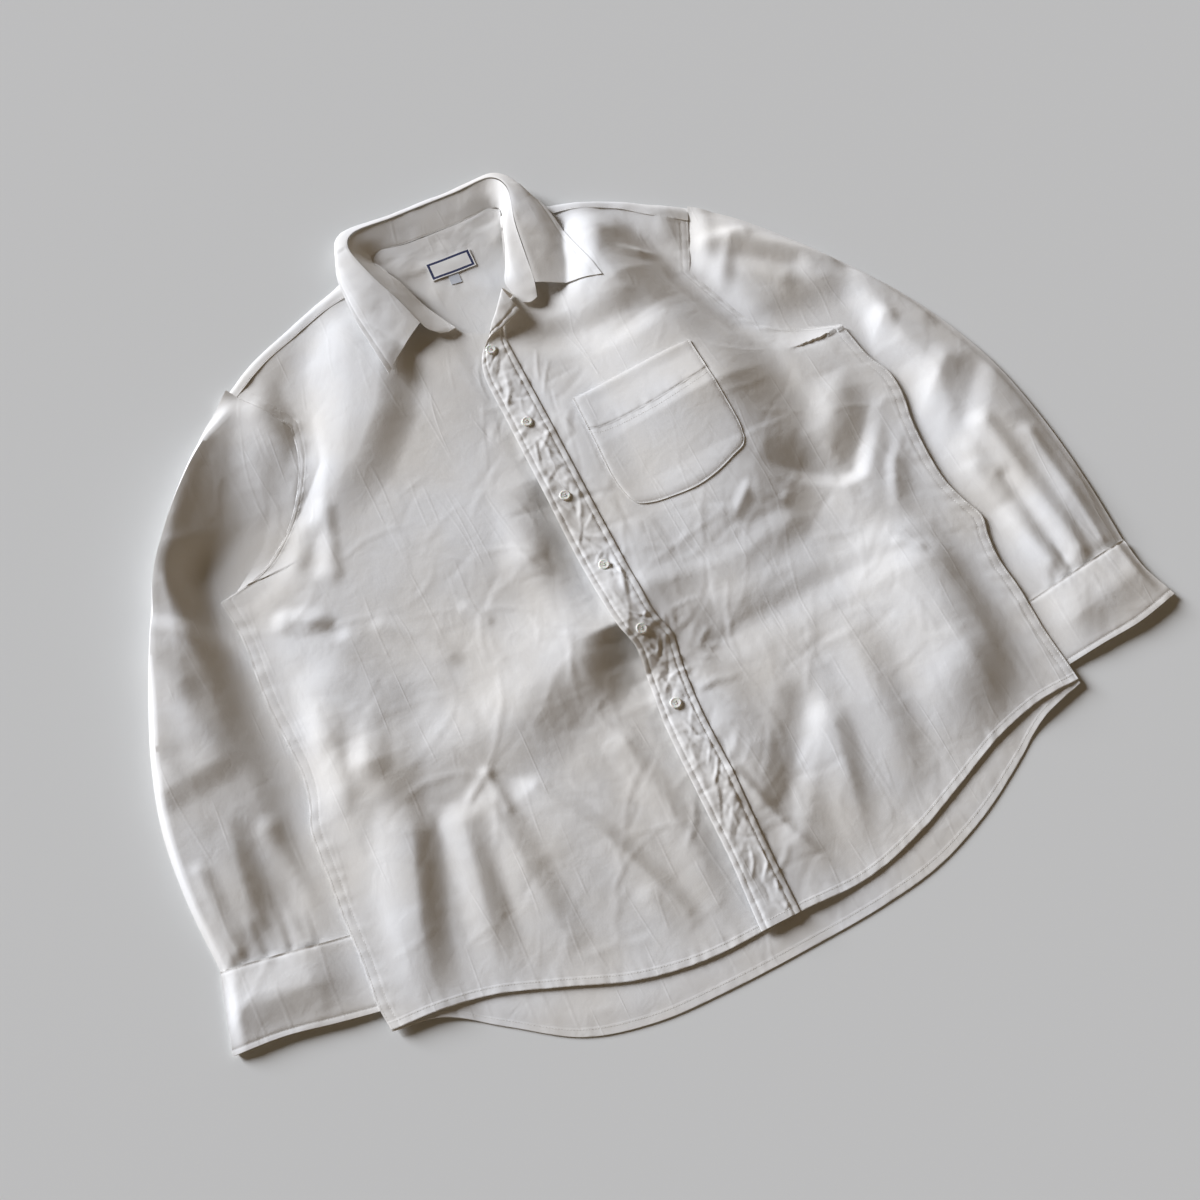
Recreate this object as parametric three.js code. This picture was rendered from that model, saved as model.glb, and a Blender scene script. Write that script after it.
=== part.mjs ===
// A long-sleeved button-up shirt of cotton poplin, laid on its back on a flat surface and lightly crumpled.
// Millimetres. +Z is up from the surface, +Y runs from the hem to the collar, and +X is the wearer's left.
// Every piece is a thin closed wall: the sleeves lie lowest beside the body, then the back, the fronts, the
// placket and pocket, and the collar stands round the open neck.

import * as THREE from 'three';

// ---------------------------------------------------------------- driving dimensions

const CLOTH = 1.2;                // wall of one layer of cloth
const COLLAR_CLOTH = 1.6;         // wall of the stiffened collar and its stand
const SEAM_GAP = 0.3;             // between pieces that are sewn edge to edge
const SHOULDER_GAP = 2.0;         // the same along the shoulders, where the walls meet at an angle
const LAYER_GAP = 1.4;            // air between the back and the fronts
const STRIP_GAP = 1.0;            // and beneath the strip of the placket
const SLEEVE_FLAT = 3.0;          // a sleeve's two layers where the body lies on them
const UNDER_DIP = 1.0;            // how far the buttoned-under front dips to make room
const OVERLAP_LIFT = 4.2;         // and how far the other one rides above it
const UNDER_FRONT_X = 13;         // the front edge of the buttoned-under front
const FRONT_LOFT = 7.0;           // how far the fronts billow off the back, away from their edges
const HEM_FADE = 45;              // the folds die out this near the hem
const ARMHOLE_FADE = 28;          // and sink most of their height this near the armholes
const SIDE_FADE = 30;             // and this near the side seams
const POCKET_LIFT = 1.4;
const BUTTON_RADIUS = 5.5;
const BUTTON_THICKNESS = 2.4;
const BUTTON_SIDES = 14;
const LABEL = { x: 6.5, y: 351, width: 50, height: 22, thickness: 0.6 };
const LABEL_LIFT = 0.9;           // the label lies this far off the yoke's inside
const SIZE_TAB = { x: 4.5, y: 332, width: 12, height: 13, thickness: 0.6 };
const CENTRE = { x: 3.0, y: 4.1 };   // middle of the laid-out shirt, moved to the origin

const GRID = { front: 21, underarm: 13, armhole: 9, pocket: 6 };
const UNDERARM_DROOP = 16;        // rows of the body's grids droop this far beside the underarm

const COLOURS = {
  poplin: { color: 0xe3e0da, roughness: 0.85, metalness: 0 },
  button: { color: 0xf1efe8, roughness: 0.25, metalness: 0 },
  label: { color: 0xeceae6, roughness: 0.8, metalness: 0 },
};

// Turns rows of numbers into objects with named columns.
function table(columns, rows) {
  return rows.map((row) => Object.fromEntries(columns.map((name, i) => [name, row[i]])));
}

// The body's side seams, from the hem corner to the underarm. Right and left are the wearer's.
const SIDE_SEAM = table(['y', 'right', 'left'], [
  [-330, -342, 345],
  [-270, -344, 344],
  [-200, -345, 346],
  [-150, -343, 354],
  [-100, -332, 344],
  [-50, -335, 345],
  [10, -337, 357],
  [60, -337, 348],
]);

// The armholes, from the underarm to the shoulder tip.
const ARMHOLE = table(['name', 'rightX', 'rightY', 'leftX', 'leftY'], [
  ['underarm', -342, 94, 342, 105],
  ['lower', -304, 103, 307, 118],
  ['curve', -275, 122, 282, 130],
  ['front', -247, 152, 258, 157],
  ['rise', -223, 198, 246, 190],
  ['back seam', -215, 241, 232, 232],
  ['front seam', -252, 296, 260, 292],
  ['tip', -259, 307, 268, 309],
]);
const BACK_SEAM_ROW = 5;

// Curved shirt-tail hems, drawn from one side seam to the other.
const HEM = table(['x', 'front', 'back'], [
  [-342, -330, -331],
  [-300, -333, -339],
  [-255, -341, -369],
  [-200, -361, -405],
  [-140, -384, -421],
  [-80, -395, -425],
  [0, -395, -425],
  [80, -396, -422],
  [140, -382, -414],
  [200, -359, -394],
  [250, -339, -369],
  [300, -327, -341],
  [345, -325, -329],
]);

// Front necklines, from the shoulder seam down to the front edge.
const RIGHT_NECKLINE = [[-50, 345], [-39, 310], [-27, 285], [-14, 266], [UNDER_FRONT_X, 250]];
const LEFT_NECKLINE = [[66, 340], [57, 316], [46, 297], [26, 272], [4, 243]];

// The placket's two edges. They sway with the front, most at the crumple half way down.
const PLACKET = table(['y', 'left', 'right'], [
  [-395, -27, 11],
  [-330, -23, 12],
  [-260, -22, 15],
  [-200, -20, 16],
  [-153, -14, 21],
  [-122, -11, 26],
  [-100, -17, 20],
  [-60, -20, 19],
  [140, -19, 19],
  [205, -18, 19],
]);
const PLACKET_TOP_Y = 205;

// The yoke goes over the shoulders: back seam, shoulder fold and front seam, or the neck seam in the middle.
const YOKE = table(['backX', 'backY', 'foldX', 'foldY', 'endX', 'endY'], [
  [-215, 241, -259, 307, -252, 296],
  [-186, 258, -222, 333, -212, 324],
  [-150, 271, -180, 352, -173, 341],
  [-115, 279, -140, 369, -133, 355],
  [-85, 284, -104, 384, -98, 362],
  [-66, 286, -72, 398, -58, 365],
  [-52, 287, -68, 398, -69, 400],
  [-26, 288, -28, 380, -28, 396],
  [6, 288, 6, 380, 6, 395],
  [38, 287, 42, 380, 43, 396],
  [64, 285, 82, 397, 83, 398],
  [80, 283, 90, 398, 74, 365],
  [98, 281, 120, 380, 116, 362],
  [130, 273, 158, 367, 153, 354],
  [170, 260, 206, 346, 194, 337],
  [203, 246, 241, 325, 226, 312],
  [232, 232, 268, 309, 260, 292],
]);
const YOKE_NECK = 6;              // sections from each armhole to the side of the neck
const NECK_RISE = 5;              // height of the neck seam at the back
const NECK_RISE_FROM = 345;       // the yoke starts to rise here, and is up at the seam
const NECK_SEAM_Y = 396;
const SHOULDER_Y = 366;           // below this the collar's fall lies on the fronts
const SHOULDER_HEIGHT = 9;        // the rolled shoulder, front seam side

// Sleeves, station by station from the shoulder to the cuff: outer fold, two points across, inner fold under
// the body, and how far the top layer billows.
const SLEEVE_COLUMNS = ['outX', 'outY', 'aX', 'aY', 'bX', 'bY', 'inX', 'inY', 'crown'];
const RIGHT_SLEEVE = table(SLEEVE_COLUMNS, [
  [-298, 275, -262, 222, -282, 141, -348, 98, 9],
  [-345, 217, -312, 170, -322, 126, -351, 89, 11],
  [-386, 155, -358, 119, -352, 88, -336, 57, 12],
  [-412, 97, -376, 66, -332, 30, -292, 5, 12],
  [-434, 35, -385, 10, -325, -22, -272, -50, 13],
  [-451, -24, -395, -50, -335, -76, -278, -100, 13],
  [-462, -88, -410, -106, -350, -126, -297, -145, 13],
  [-462, -156, -415, -168, -365, -181, -318, -193, 12],
  [-455, -223, -415, -230, -373, -238, -332, -245, 8],
]);
const LEFT_SLEEVE = table(SLEEVE_COLUMNS, [
  [306, 276, 284, 212, 300, 144, 349, 110, 8],
  [350, 222, 326, 172, 332, 134, 355, 96, 11],
  [396, 155, 368, 116, 362, 86, 348, 57, 12],
  [424, 105, 386, 70, 340, 32, 296, 5, 12],
  [446, 52, 396, 20, 336, -20, 276, -50, 13],
  [462, -5, 406, -40, 340, -76, 282, -100, 13],
  [470, -80, 416, -102, 355, -126, 300, -145, 13],
  [470, -158, 422, -170, 370, -183, 322, -194, 12],
  [465, -226, 422, -231, 379, -236, 336, -241, 8],
]);

// Cuffs, from the sleeve seam to the open end, in the same columns.
const RIGHT_CUFF = table(SLEEVE_COLUMNS, [
  [-455.5, -223.6, -415, -230.6, -373, -238.6, -332, -245.6, 8],
  [-462, -258, -420, -264, -376, -271, -332, -280, 9],
  [-468, -291, -424, -295, -378, -305, -333, -314, 8],
]);
const LEFT_CUFF = table(SLEEVE_COLUMNS, [
  [465.5, -226.6, 422, -231.6, 379, -236.6, 336, -241.6, 8],
  [466, -258, 424, -266, 380, -273, 337, -276, 9],
  [474, -294, 430, -302, 384, -305, 338, -309, 9],
]);

// The largest folds of the fronts: a soft ridge, or a trough where the height is negative, along a path.
const FOLD_COLUMNS = ['path', 'width', 'height'];
const FRONT_FOLDS = table(FOLD_COLUMNS, [
  [[[-165, 335], [-202, 240], [-252, 165], [-278, 146]], 42, 11],
  [[[-205, 165], [-160, 215], [-125, 290]], 70, 6],
  [[[-190, 135], [-120, 175], [-70, 235]], 36, -4],
  [[[-24, 45], [-45, -15]], 34, -4],
  [[[-22, -128], [-95, -135]], 42, -6],
  [[[-24, -90], [-120, -92], [-210, -80]], 36, 4],
  [[[-130, -205], [-65, -365]], 36, 4],
  [[[-245, -190], [-300, -310]], 45, 5],
  [[[-290, -35], [-292, -85]], 34, -4],
  [[[150, 265], [205, 325]], 62, -5],
  [[[205, 332], [232, 262], [207, 240]], 34, 8],
  [[[215, 225], [250, 168], [290, 134]], 34, 8],
  [[[185, 165], [285, 65]], 60, -5],
  [[[38, 236], [62, 204], [150, 190]], 32, 4],
  [[[250, -45], [310, 5]], 32, 5],
  [[[255, -105], [325, -35]], 34, 4],
  [[[45, -140], [310, -148]], 46, -5],
  [[[35, -94], [300, -98]], 36, 3],
  [[[268, -185], [272, -300]], 42, 4],
  [[[112, -248], [52, -335]], 36, 4],
]);
const SLEEVE_FOLDS = table(FOLD_COLUMNS, [
  [[[-300, 235], [-262, 190]], 40, -4],
  [[[-440, -70], [-385, -60]], 34, 4],
  [[[-400, -120], [-380, -170]], 40, -4],
  [[[262, 200], [292, 250]], 32, 4],
  [[[305, 235], [372, 182]], 32, 4],
  [[[350, 60], [395, 95]], 32, 4],
  [[[362, -30], [415, 20]], 34, 4],
]);

// Where the sleeve's inner fold runs beneath the back, by height up the body.
const TUCKED_EDGE = table(['y', 'right', 'left'], [
  [-330, -333, 338],
  [-245, -332, 336],
  [-193, -318, 322],
  [-145, -297, 300],
  [-100, -278, 282],
  [-50, -272, 276],
  [5, -292, 296],
  [57, -336, 346],
]);

// The placket's top, turned out over a roll line: free edge, roll line and panel edge, each with its height
// above the front.
const PLACKET_TURN = table(
  ['freeX', 'freeY', 'freeZ', 'rollX', 'rollY', 'rollZ', 'endX', 'endY', 'endZ'],
  [
    [-13, 223, 0, 3, 225, 0, 19, 226, 0],
    [-4, 236, 0, 8, 238, 0, 20, 240, 0],
    [5, 242, 2.5, 6, 247, 2, 25, 255, 0],
    [22, 247, 5, 24, 269, 5, 33, 272, 0],
    [45, 257, 7, 39, 287, 7, 48, 281, 0],
  ],
);

// Collar stand, from its right front end round the back of the neck to its left front end: seam edge, middle
// and top edge.
const ROLL_COLUMNS = ['x0', 'y0', 'z0', 'x1', 'y1', 'z1', 'x2', 'y2', 'z2'];
const STAND = table(ROLL_COLUMNS, [
  [-23, 272, 14, -30, 270, 15, -38, 271, 16],
  [-25, 281, 13, -37, 280, 16, -49, 281, 19],
  [-38, 310, 11.5, -51, 315, 18, -61, 318, 23],
  [-51, 350, 13, -64, 354, 20, -76, 360, 26],
  [-67, 392, 12, -76, 396, 20, -83, 404, 29.5],
  [-62, 398.8, 8, -66, 409, 18, -72, 420, 30],
  [-26, 396.8, 7, -27, 409, 17, -28, 422, 29.5],
  [6, 396.3, 7, 6, 409, 17, 6, 423, 29],
  [42, 396.8, 7, 43, 409, 17, 46, 423, 30],
  [76, 398.8, 8, 80, 410, 18, 86, 422, 31],
  [82, 393, 12, 88, 396, 21, 95, 402, 31],
  [70, 352, 14, 70, 350, 21, 84, 352, 28],
  [58, 322, 13.5, 62, 318, 20, 78, 312, 25],
  [47, 298, 15.5, 58, 290, 19, 74, 284, 22],
  [53, 268, 17, 61, 264, 17.5, 69, 266, 18.5],
]);

// The collar's fall, round the neck from its right point to its left point: fold, middle and outer edge.
const COLLAR = table(ROLL_COLUMNS, [
  [-53.6, 288.1, 21.1, -77, 272, 18, -105, 244, 13],
  [-63.4, 318.2, 24.4, -85, 309, 21.5, -109, 290, 16],
  [-78.4, 361.1, 27.4, -98, 357, 25, -111, 345, 19],
  [-84.8, 405.2, 30.8, -99, 402, 27, -105, 390, 19],
  [-73.6, 421.6, 31.3, -85, 430, 19, -84, 412, 2.6],
  [-28, 424.2, 30.8, -28, 431, 16, -28, 408, 2.2],
  [6, 425.2, 30.3, 6, 432, 16, 6, 407, 2.2],
  [46, 425.2, 31.3, 46, 432, 16, 46, 408, 2.2],
  [87.6, 423.6, 32.3, 97, 430, 19, 96, 411, 3],
  [96.8, 403.3, 32.3, 111, 396, 28, 119, 384, 20],
  [86.3, 352.2, 29.3, 108, 345, 26, 127, 345, 20],
  [80.1, 311.1, 26.2, 104, 304, 23, 131, 298, 17],
  [75.3, 280.5, 22.7, 104, 267, 20, 136, 250, 14],
]);

const POCKET_OUTLINE = { left: 50, right: 182, top: 141, side: 28, bottom: 6, point: 0 };
const BUTTONS = table(['x', 'y', 'shank'], [
  [-1, 229, 2.2],
  [-2, 137, 1.4],
  [-3, 47, 0.5],
  [-1, -35, 1.4],
  [1, -110, 0.8],
  [-2, -185, 1.4],
]);

// ---------------------------------------------------------------- curves and grids

const clamp01 = (t) => Math.min(1, Math.max(0, t));
const smooth = (t) => clamp01(t) ** 2 * (3 - 2 * clamp01(t));
const mix = (a, b, t) => a + (b - a) * t;
const point = (x, y, z = 0) => new THREE.Vector3(x, y, z);

// Even points along a soft curve through the given ones.
function sample(points, count) {
  const curve = new THREE.CatmullRomCurve3(points, false, 'centripetal');
  curve.arcLengthDivisions = 400;
  return curve.getSpacedPoints(count);
}

// Even points along the straight runs between the given ones.
function polyline(points, count) {
  const path = new THREE.CurvePath();
  points.slice(1).forEach((p, i) => path.add(new THREE.LineCurve3(points[i], p)));
  return path.getSpacedPoints(count);
}

// Value of one column of a table at a height y, between its rows.
function column(rows, name, y) {
  const last = rows.length - 1;
  const next = rows.findIndex((row) => row.y >= y);
  const i = next === -1 ? last : Math.max(next, 1);
  const a = rows[i - 1];
  const b = rows[i];
  return mix(a[name], b[name], clamp01((y - a.y) / (b.y - a.y)));
}

// A four-sided patch between its boundary curves: bottom and top run left to right, the sides bottom to top.
function patch(bottom, top, left, right) {
  const nu = bottom.length - 1;
  const nv = left.length - 1;
  return left.map((_, j) => bottom.map((__, i) => {
    const u = i / nu;
    const v = j / nv;
    const across = left[j].clone().lerp(right[j], u);
    const along = bottom[i].clone().lerp(top[i], v);
    const low = bottom[0].clone().lerp(bottom[nu], u);
    const high = top[0].clone().lerp(top[nu], u);
    return across.add(along).sub(low.lerp(high, v));
  }));
}

// Rows of section curves, evenly divided across, and along too where a count is given.
function loft(sections, across, along) {
  const lines = sections.map((points) => sample(points, across));
  if (!along) {
    return lines;
  }
  const rails = lines[0].map((_, j) => sample(lines.map((line) => line[j]), along));
  return rails[0].map((_, i) => rails.map((rail) => rail[i]));
}

// The unit normal of a grid at one point, by its neighbours.
function normalAt(grid, i, j) {
  const a = grid[Math.min(i + 1, grid.length - 1)][j].clone().sub(grid[Math.max(i - 1, 0)][j]);
  const row = grid[i];
  const b = row[Math.min(j + 1, row.length - 1)].clone().sub(row[Math.max(j - 1, 0)]);
  return a.cross(b).normalize();
}

const raise = (grid, height) => grid.map((row) => row.map((p) => point(p.x, p.y, p.z + height)));
const offset = (grid, distance) => grid.map((row, i) => row.map(
  (p, j) => p.clone().addScaledVector(normalAt(grid, i, j), distance),
));

// ---------------------------------------------------------------- closed walls

function signedVolume(positions, faces) {
  const at = (n) => point(positions[3 * n], positions[3 * n + 1], positions[3 * n + 2]);
  return faces.reduce((sum, [a, b, c]) => sum + at(a).dot(at(b).cross(at(c))) / 6, 0);
}

// The closed solid between two grids of the same size. A ring closes on itself across its rows.
function wall(outer, inner, ring = false) {
  const rows = outer.length;
  const cols = outer[0].length;
  const points = [...outer.flat(), ...inner.flat()];
  const positions = points.flatMap((p) => [p.x - CENTRE.x, p.y - CENTRE.y, p.z]);
  const at = (layer, i, j) => layer * rows * cols + i * cols + (j % cols);
  const faces = [];
  const quad = (a, b, c, d) => faces.push([a, b, c], [a, c, d]);
  const steps = ring ? cols : cols - 1;
  for (let i = 0; i < rows - 1; i += 1) {
    for (let j = 0; j < steps; j += 1) {
      quad(at(0, i, j), at(0, i, j + 1), at(0, i + 1, j + 1), at(0, i + 1, j));
      quad(at(1, i, j), at(1, i + 1, j), at(1, i + 1, j + 1), at(1, i, j + 1));
    }
  }
  for (let j = 0; j < steps; j += 1) {
    quad(at(0, 0, j), at(1, 0, j), at(1, 0, j + 1), at(0, 0, j + 1));
    quad(at(0, rows - 1, j), at(0, rows - 1, j + 1), at(1, rows - 1, j + 1), at(1, rows - 1, j));
  }
  for (let i = 0; i < rows - 1 && !ring; i += 1) {
    quad(at(0, i, 0), at(0, i + 1, 0), at(1, i + 1, 0), at(1, i, 0));
    quad(at(0, i, cols - 1), at(1, i, cols - 1), at(1, i + 1, cols - 1), at(0, i + 1, cols - 1));
  }
  const outward = signedVolume(positions, faces) > 0;
  const index = faces.flatMap(([a, b, c]) => (outward ? [a, b, c] : [a, c, b]));
  const geometry = new THREE.BufferGeometry();
  geometry.setAttribute('position', new THREE.Float32BufferAttribute(positions, 3));
  geometry.setIndex(index);
  geometry.computeVertexNormals();
  return geometry;
}

const shirt = new THREE.Group();

function add(name, geometry, finish) {
  const mesh = new THREE.Mesh(geometry, new THREE.MeshStandardMaterial(finish));
  mesh.name = name;
  shirt.add(mesh);
  return mesh;
}

// ---------------------------------------------------------------- heights

// Distance in plan from a point to a path of straight runs.
function distanceTo(path, x, y) {
  return Math.min(...path.slice(1).map((b, i) => {
    const a = path[i];
    const dx = b[0] - a[0];
    const dy = b[1] - a[1];
    const t = clamp01(((x - a[0]) * dx + (y - a[1]) * dy) / (dx * dx + dy * dy));
    return Math.hypot(x - a[0] - t * dx, y - a[1] - t * dy);
  }));
}

// Height that a table of folds adds at a point of the plan.
function foldHeight(folds, x, y) {
  return folds.reduce((sum, { path, width, height }) => (
    sum + height * smooth(1 - distanceTo(path, x, y) / width)
  ), 0);
}

const ARMHOLE_PATH = {
  right: ARMHOLE.map((row) => [row.rightX, row.rightY]),
  left: ARMHOLE.map((row) => [row.leftX, row.leftY]),
};

// How fully the body is carried by a tucked sleeve at a point: 1 on the sleeve, 0 clear of it.
function onSleeve(x, y) {
  const edge = x < 0 ? column(TUCKED_EDGE, 'right', y) : column(TUCKED_EDGE, 'left', y);
  const past = x < 0 ? edge + 68 - x : x - edge + 68;
  return smooth(past / 46) * smooth((124 - y) / 34);
}

const backHeight = (x, y) => (SLEEVE_FLAT + 0.7) * onSleeve(x, y);

// Underside of the fronts.
function frontHeight(x, y) {
  const side = x < 0 ? x - column(SIDE_SEAM, 'right', y) : column(SIDE_SEAM, 'left', y) - x;
  const hem = y - hemAt(x);
  const sewn = distanceTo(ARMHOLE_PATH[x < 0 ? 'right' : 'left'], x, y) / ARMHOLE_FADE;
  const fade = smooth(hem / HEM_FADE) * (y < 100 ? smooth(side / SIDE_FADE) : 1) * mix(0.3, 1, smooth(sewn));
  const loose = Math.max(0, FRONT_LOFT + foldHeight(FRONT_FOLDS, x, y));
  return backHeight(x, y) + CLOTH + LAYER_GAP + loose * fade;
}

function hemAt(x) {
  const rows = HEM.map((row) => ({ y: row.x, value: row.front }));
  return column(rows, 'value', x);
}

// ---------------------------------------------------------------- boundaries shared by the pieces

// The side of the body: points along the seam, and the armhole's points, which the sleeve shares.
function sideBoundary(side) {
  const corner = HEM[side === 'right' ? 0 : HEM.length - 1];
  const seam = SIDE_SEAM.map((row) => point(row[side], row.y));
  const hole = ARMHOLE.map((row) => point(row[`${side}X`], row[`${side}Y`]));
  const toUnderarm = (y) => sample([point(corner.x, y), ...seam.slice(1), hole[0]], GRID.underarm);
  const lower = sample(hole.slice(0, BACK_SEAM_ROW + 1), 6);
  const upper = sample([hole[BACK_SEAM_ROW], hole[BACK_SEAM_ROW + 1]], 2);
  const short = (line, gap) => {
    const [before, last] = line.slice(-2);
    return last.clone().lerp(before, gap / last.distanceTo(before));
  };
  return {
    front: [...toUnderarm(corner.front), ...lower.slice(1), upper[1], short(upper, SHOULDER_GAP)],
    back: [...toUnderarm(corner.back), ...lower.slice(1, -1), short(lower, SEAM_GAP)],
    armhole: [...lower, ...upper.slice(1), hole[hole.length - 1]],
  };
}

const RIGHT = sideBoundary('right');
const LEFT = sideBoundary('left');

function hemLine(name, fromX, toX, count) {
  const inner = HEM.filter((row) => row.x > fromX + 12 && row.x < toX - 12);
  const rows = inner.map((row) => point(row.x, row[name]));
  const height = (x) => column(HEM.map((row) => ({ y: row.x, value: row[name] })), 'value', x);
  return sample([point(fromX, height(fromX)), ...rows, point(toX, height(toX))], count);
}

const withHeight = (grid, height) => grid.map((row) => row.map((p) => point(p.x, p.y, height(p.x, p.y))));

// ---------------------------------------------------------------- body panels

// Lets the rows droop beside the underarms, so that they stay clear of the armholes' curves.
function drooped(plan, { right, left }) {
  plan.forEach((row, j) => row.forEach((p, i) => {
    const ends = [right ? i : Infinity, left ? row.length - 1 - i : Infinity];
    const fromSeam = Math.min(...ends);
    const near = smooth(1 - Math.abs(j - GRID.underarm) / 4) * smooth(1 - (fromSeam - 1) / 6);
    p.y -= fromSeam > 0 ? UNDERARM_DROOP * near : 0;
  }));
  return plan;
}

const seamPoint = (row, x, y, gap) => point(row[x], row[y] - gap);

function makeBack() {
  const seam = YOKE.map((row) => seamPoint(row, 'backX', 'backY', SEAM_GAP));
  const bottom = hemLine('back', HEM[0].x, HEM[HEM.length - 1].x, seam.length - 1);
  const plan = drooped(patch(bottom, seam, RIGHT.back, LEFT.back), { right: true, left: true });
  const under = withHeight(plan, backHeight);
  return wall(raise(under, CLOTH), under);
}

// The front that buttons under, on the wearer's right. Its front edge dips beneath the other.
const rightHeight = (x, y) => frontHeight(x, y) - UNDER_DIP * smooth((x + 34) / 16);

function makeRightFront() {
  const shoulder = YOKE.slice(0, YOKE_NECK).map((row) => seamPoint(row, 'endX', 'endY', SHOULDER_GAP));
  const top = [...shoulder, ...RIGHT_NECKLINE.map(([x, y]) => point(x, y))];
  const bottom = hemLine('front', HEM[0].x, UNDER_FRONT_X, top.length - 1);
  const edge = polyline([bottom[bottom.length - 1], top[top.length - 1]], GRID.front);
  const plan = drooped(patch(bottom, top, RIGHT.front, edge), { right: true });
  const under = withHeight(plan, rightHeight);
  return wall(raise(under, CLOTH), under);
}

// The front that buttons over, on the wearer's left. Its first two columns are the placket's edges.
const leftHeight = (x, y) => frontHeight(x, y) + OVERLAP_LIFT * smooth((80 - x) / 50);

function leftFrontGrid() {
  const shoulder = YOKE.slice(-YOKE_NECK).map((row) => seamPoint(row, 'endX', 'endY', SHOULDER_GAP));
  const top = [...LEFT_NECKLINE.map(([x, y]) => point(x, y)).reverse(), ...shoulder];
  const { left, right } = PLACKET[0];
  const rest = hemLine('front', right, HEM[HEM.length - 1].x, top.length - 2);
  const bottom = [point(left, hemAt(left)), ...rest];
  const straight = point(PLACKET[PLACKET.length - 1].left, PLACKET_TOP_Y);
  const edge = polyline([bottom[0], straight, top[0]], GRID.front);
  const plan = drooped(patch(bottom, top, edge, LEFT.front), { left: true });
  plan.filter((row) => row[0].y <= PLACKET_TOP_Y).forEach((row) => {
    row[0].x = column(PLACKET, 'left', row[0].y);
    row[1].set(column(PLACKET, 'right', row[0].y), row[0].y, 0);
  });
  return withHeight(plan, leftHeight);
}

const LEFT_FRONT = leftFrontGrid();

function makeLeftFront() {
  return wall(raise(LEFT_FRONT, CLOTH), LEFT_FRONT);
}

// ---------------------------------------------------------------- placket, pocket, buttons

// A strip laid on the left front's edge. Its top is turned out over a roll line.
function makePlacket() {
  const over = CLOTH + STRIP_GAP;
  const flat = LEFT_FRONT.filter((row) => row[0].y <= PLACKET_TOP_Y).map(([edge, stitched]) => (
    [0, 0.25, 0.5, 0.75, 1].map((t) => edge.clone().lerp(stitched, t).add(point(0, 0, over)))
  ));
  const turned = PLACKET_TURN.map((row) => {
    const at = (x, y, lift) => point(x, y, leftHeight(x, y) + over + 0.8 + lift);
    return sample([
      at(row.freeX, row.freeY, row.freeZ),
      at(row.rollX, row.rollY, row.rollZ),
      at(row.endX, row.endY, row.endZ),
    ], 4);
  });
  const under = [...flat, ...turned];
  return wall(raise(under, CLOTH), under);
}

function makePocket() {
  const o = POCKET_OUTLINE;
  const middle = (o.left + o.right) / 2;
  const bottom = sample([
    point(o.left + 3, o.bottom + 9), point(o.left + 22, o.bottom - 1), point(middle, o.point),
    point(o.right - 22, o.bottom + 3), point(o.right - 3, o.bottom + 13),
  ], GRID.pocket);
  const top = sample([point(o.left, o.top), point(o.right, o.top + 2)], GRID.pocket);
  const left = sample([bottom[0], point(o.left, o.side), top[0]], GRID.pocket);
  const right = sample([bottom[GRID.pocket], point(o.right, o.side + 4), top[GRID.pocket]], GRID.pocket);
  const lift = CLOTH + POCKET_LIFT;
  const under = withHeight(patch(bottom, top, left, right), (x, y) => leftHeight(x, y) + lift);
  return wall(raise(under, CLOTH), under);
}

// A button sits on its thread shank over the highest point of the placket under its rim.
function seatOf({ x, y, shank }) {
  const r = BUTTON_RADIUS + 2;
  const under = [[0, 0], [r, 0], [-r, 0], [0, r], [0, -r]].map(([dx, dy]) => leftHeight(x + dx, y + dy));
  return Math.max(...under) + 2 * CLOTH + shank;
}

// A round button with a raised rim.
function makeButton() {
  const r = BUTTON_RADIUS;
  const h = BUTTON_THICKNESS;
  const profile = [[0, 0], [0.7, 0], [1, 0.45], [0.92, 1], [0.66, 1], [0.55, 0.7], [0, 0.7]];
  return new THREE.LatheGeometry(profile.map(([x, y]) => new THREE.Vector2(x * r, y * h)), BUTTON_SIDES);
}

// ---------------------------------------------------------------- yoke, label, collar

const neckRise = (y) => NECK_RISE * smooth((y - NECK_RISE_FROM) / (NECK_SEAM_Y - NECK_RISE_FROM));

function makeYoke() {
  const sections = YOKE.map((row) => {
    const back = point(row.backX, row.backY, 0);
    const fold = point(row.foldX, row.foldY, 0);
    const flat = fold.clone().lerp(back, 0.5);
    const near = fold.clone().lerp(back, 0.1);
    if (row.endY > 380) {
      return [back, flat, near.setZ(neckRise(near.y)), point(row.endX, row.endY, NECK_RISE)];
    }
    const end = point(row.endX, row.endY, frontHeight(row.endX, row.endY) + CLOTH);
    const over = end.clone().lerp(fold, 0.5).setZ(Math.max(SHOULDER_HEIGHT, end.z));
    return [back, flat, near, fold.setZ(4), over, end];
  });
  const outer = loft(sections, 11);
  outer.flat().forEach((p) => p.setZ(Math.max(0, p.z)));
  return wall(outer, offset(outer, CLOTH));
}

function plate({ x, y, width, height, thickness }, z) {
  const geometry = new THREE.BoxGeometry(width, height, thickness);
  geometry.translate(x - CENTRE.x, y - CENTRE.y, z + thickness / 2);
  return geometry;
}

const rolled = (row) => [
  point(row.x0, row.y0, row.z0), point(row.x1, row.y1, row.z1), point(row.x2, row.y2, row.z2),
];

function makeStand() {
  const face = loft(STAND.map(rolled), 3, 30);
  return wall(face, offset(face, COLLAR_CLOTH));
}

function makeCollar() {
  const face = loft(COLLAR.map(rolled), 5, 30);
  const onFront = face.flat().filter((p) => p.y < SHOULDER_Y);
  onFront.forEach((p) => p.setZ(Math.max(p.z, leftHeight(p.x, p.y) + CLOTH + STRIP_GAP)));
  return wall(offset(face, -COLLAR_CLOTH), face);
}

// ---------------------------------------------------------------- sleeves and cuffs

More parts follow.
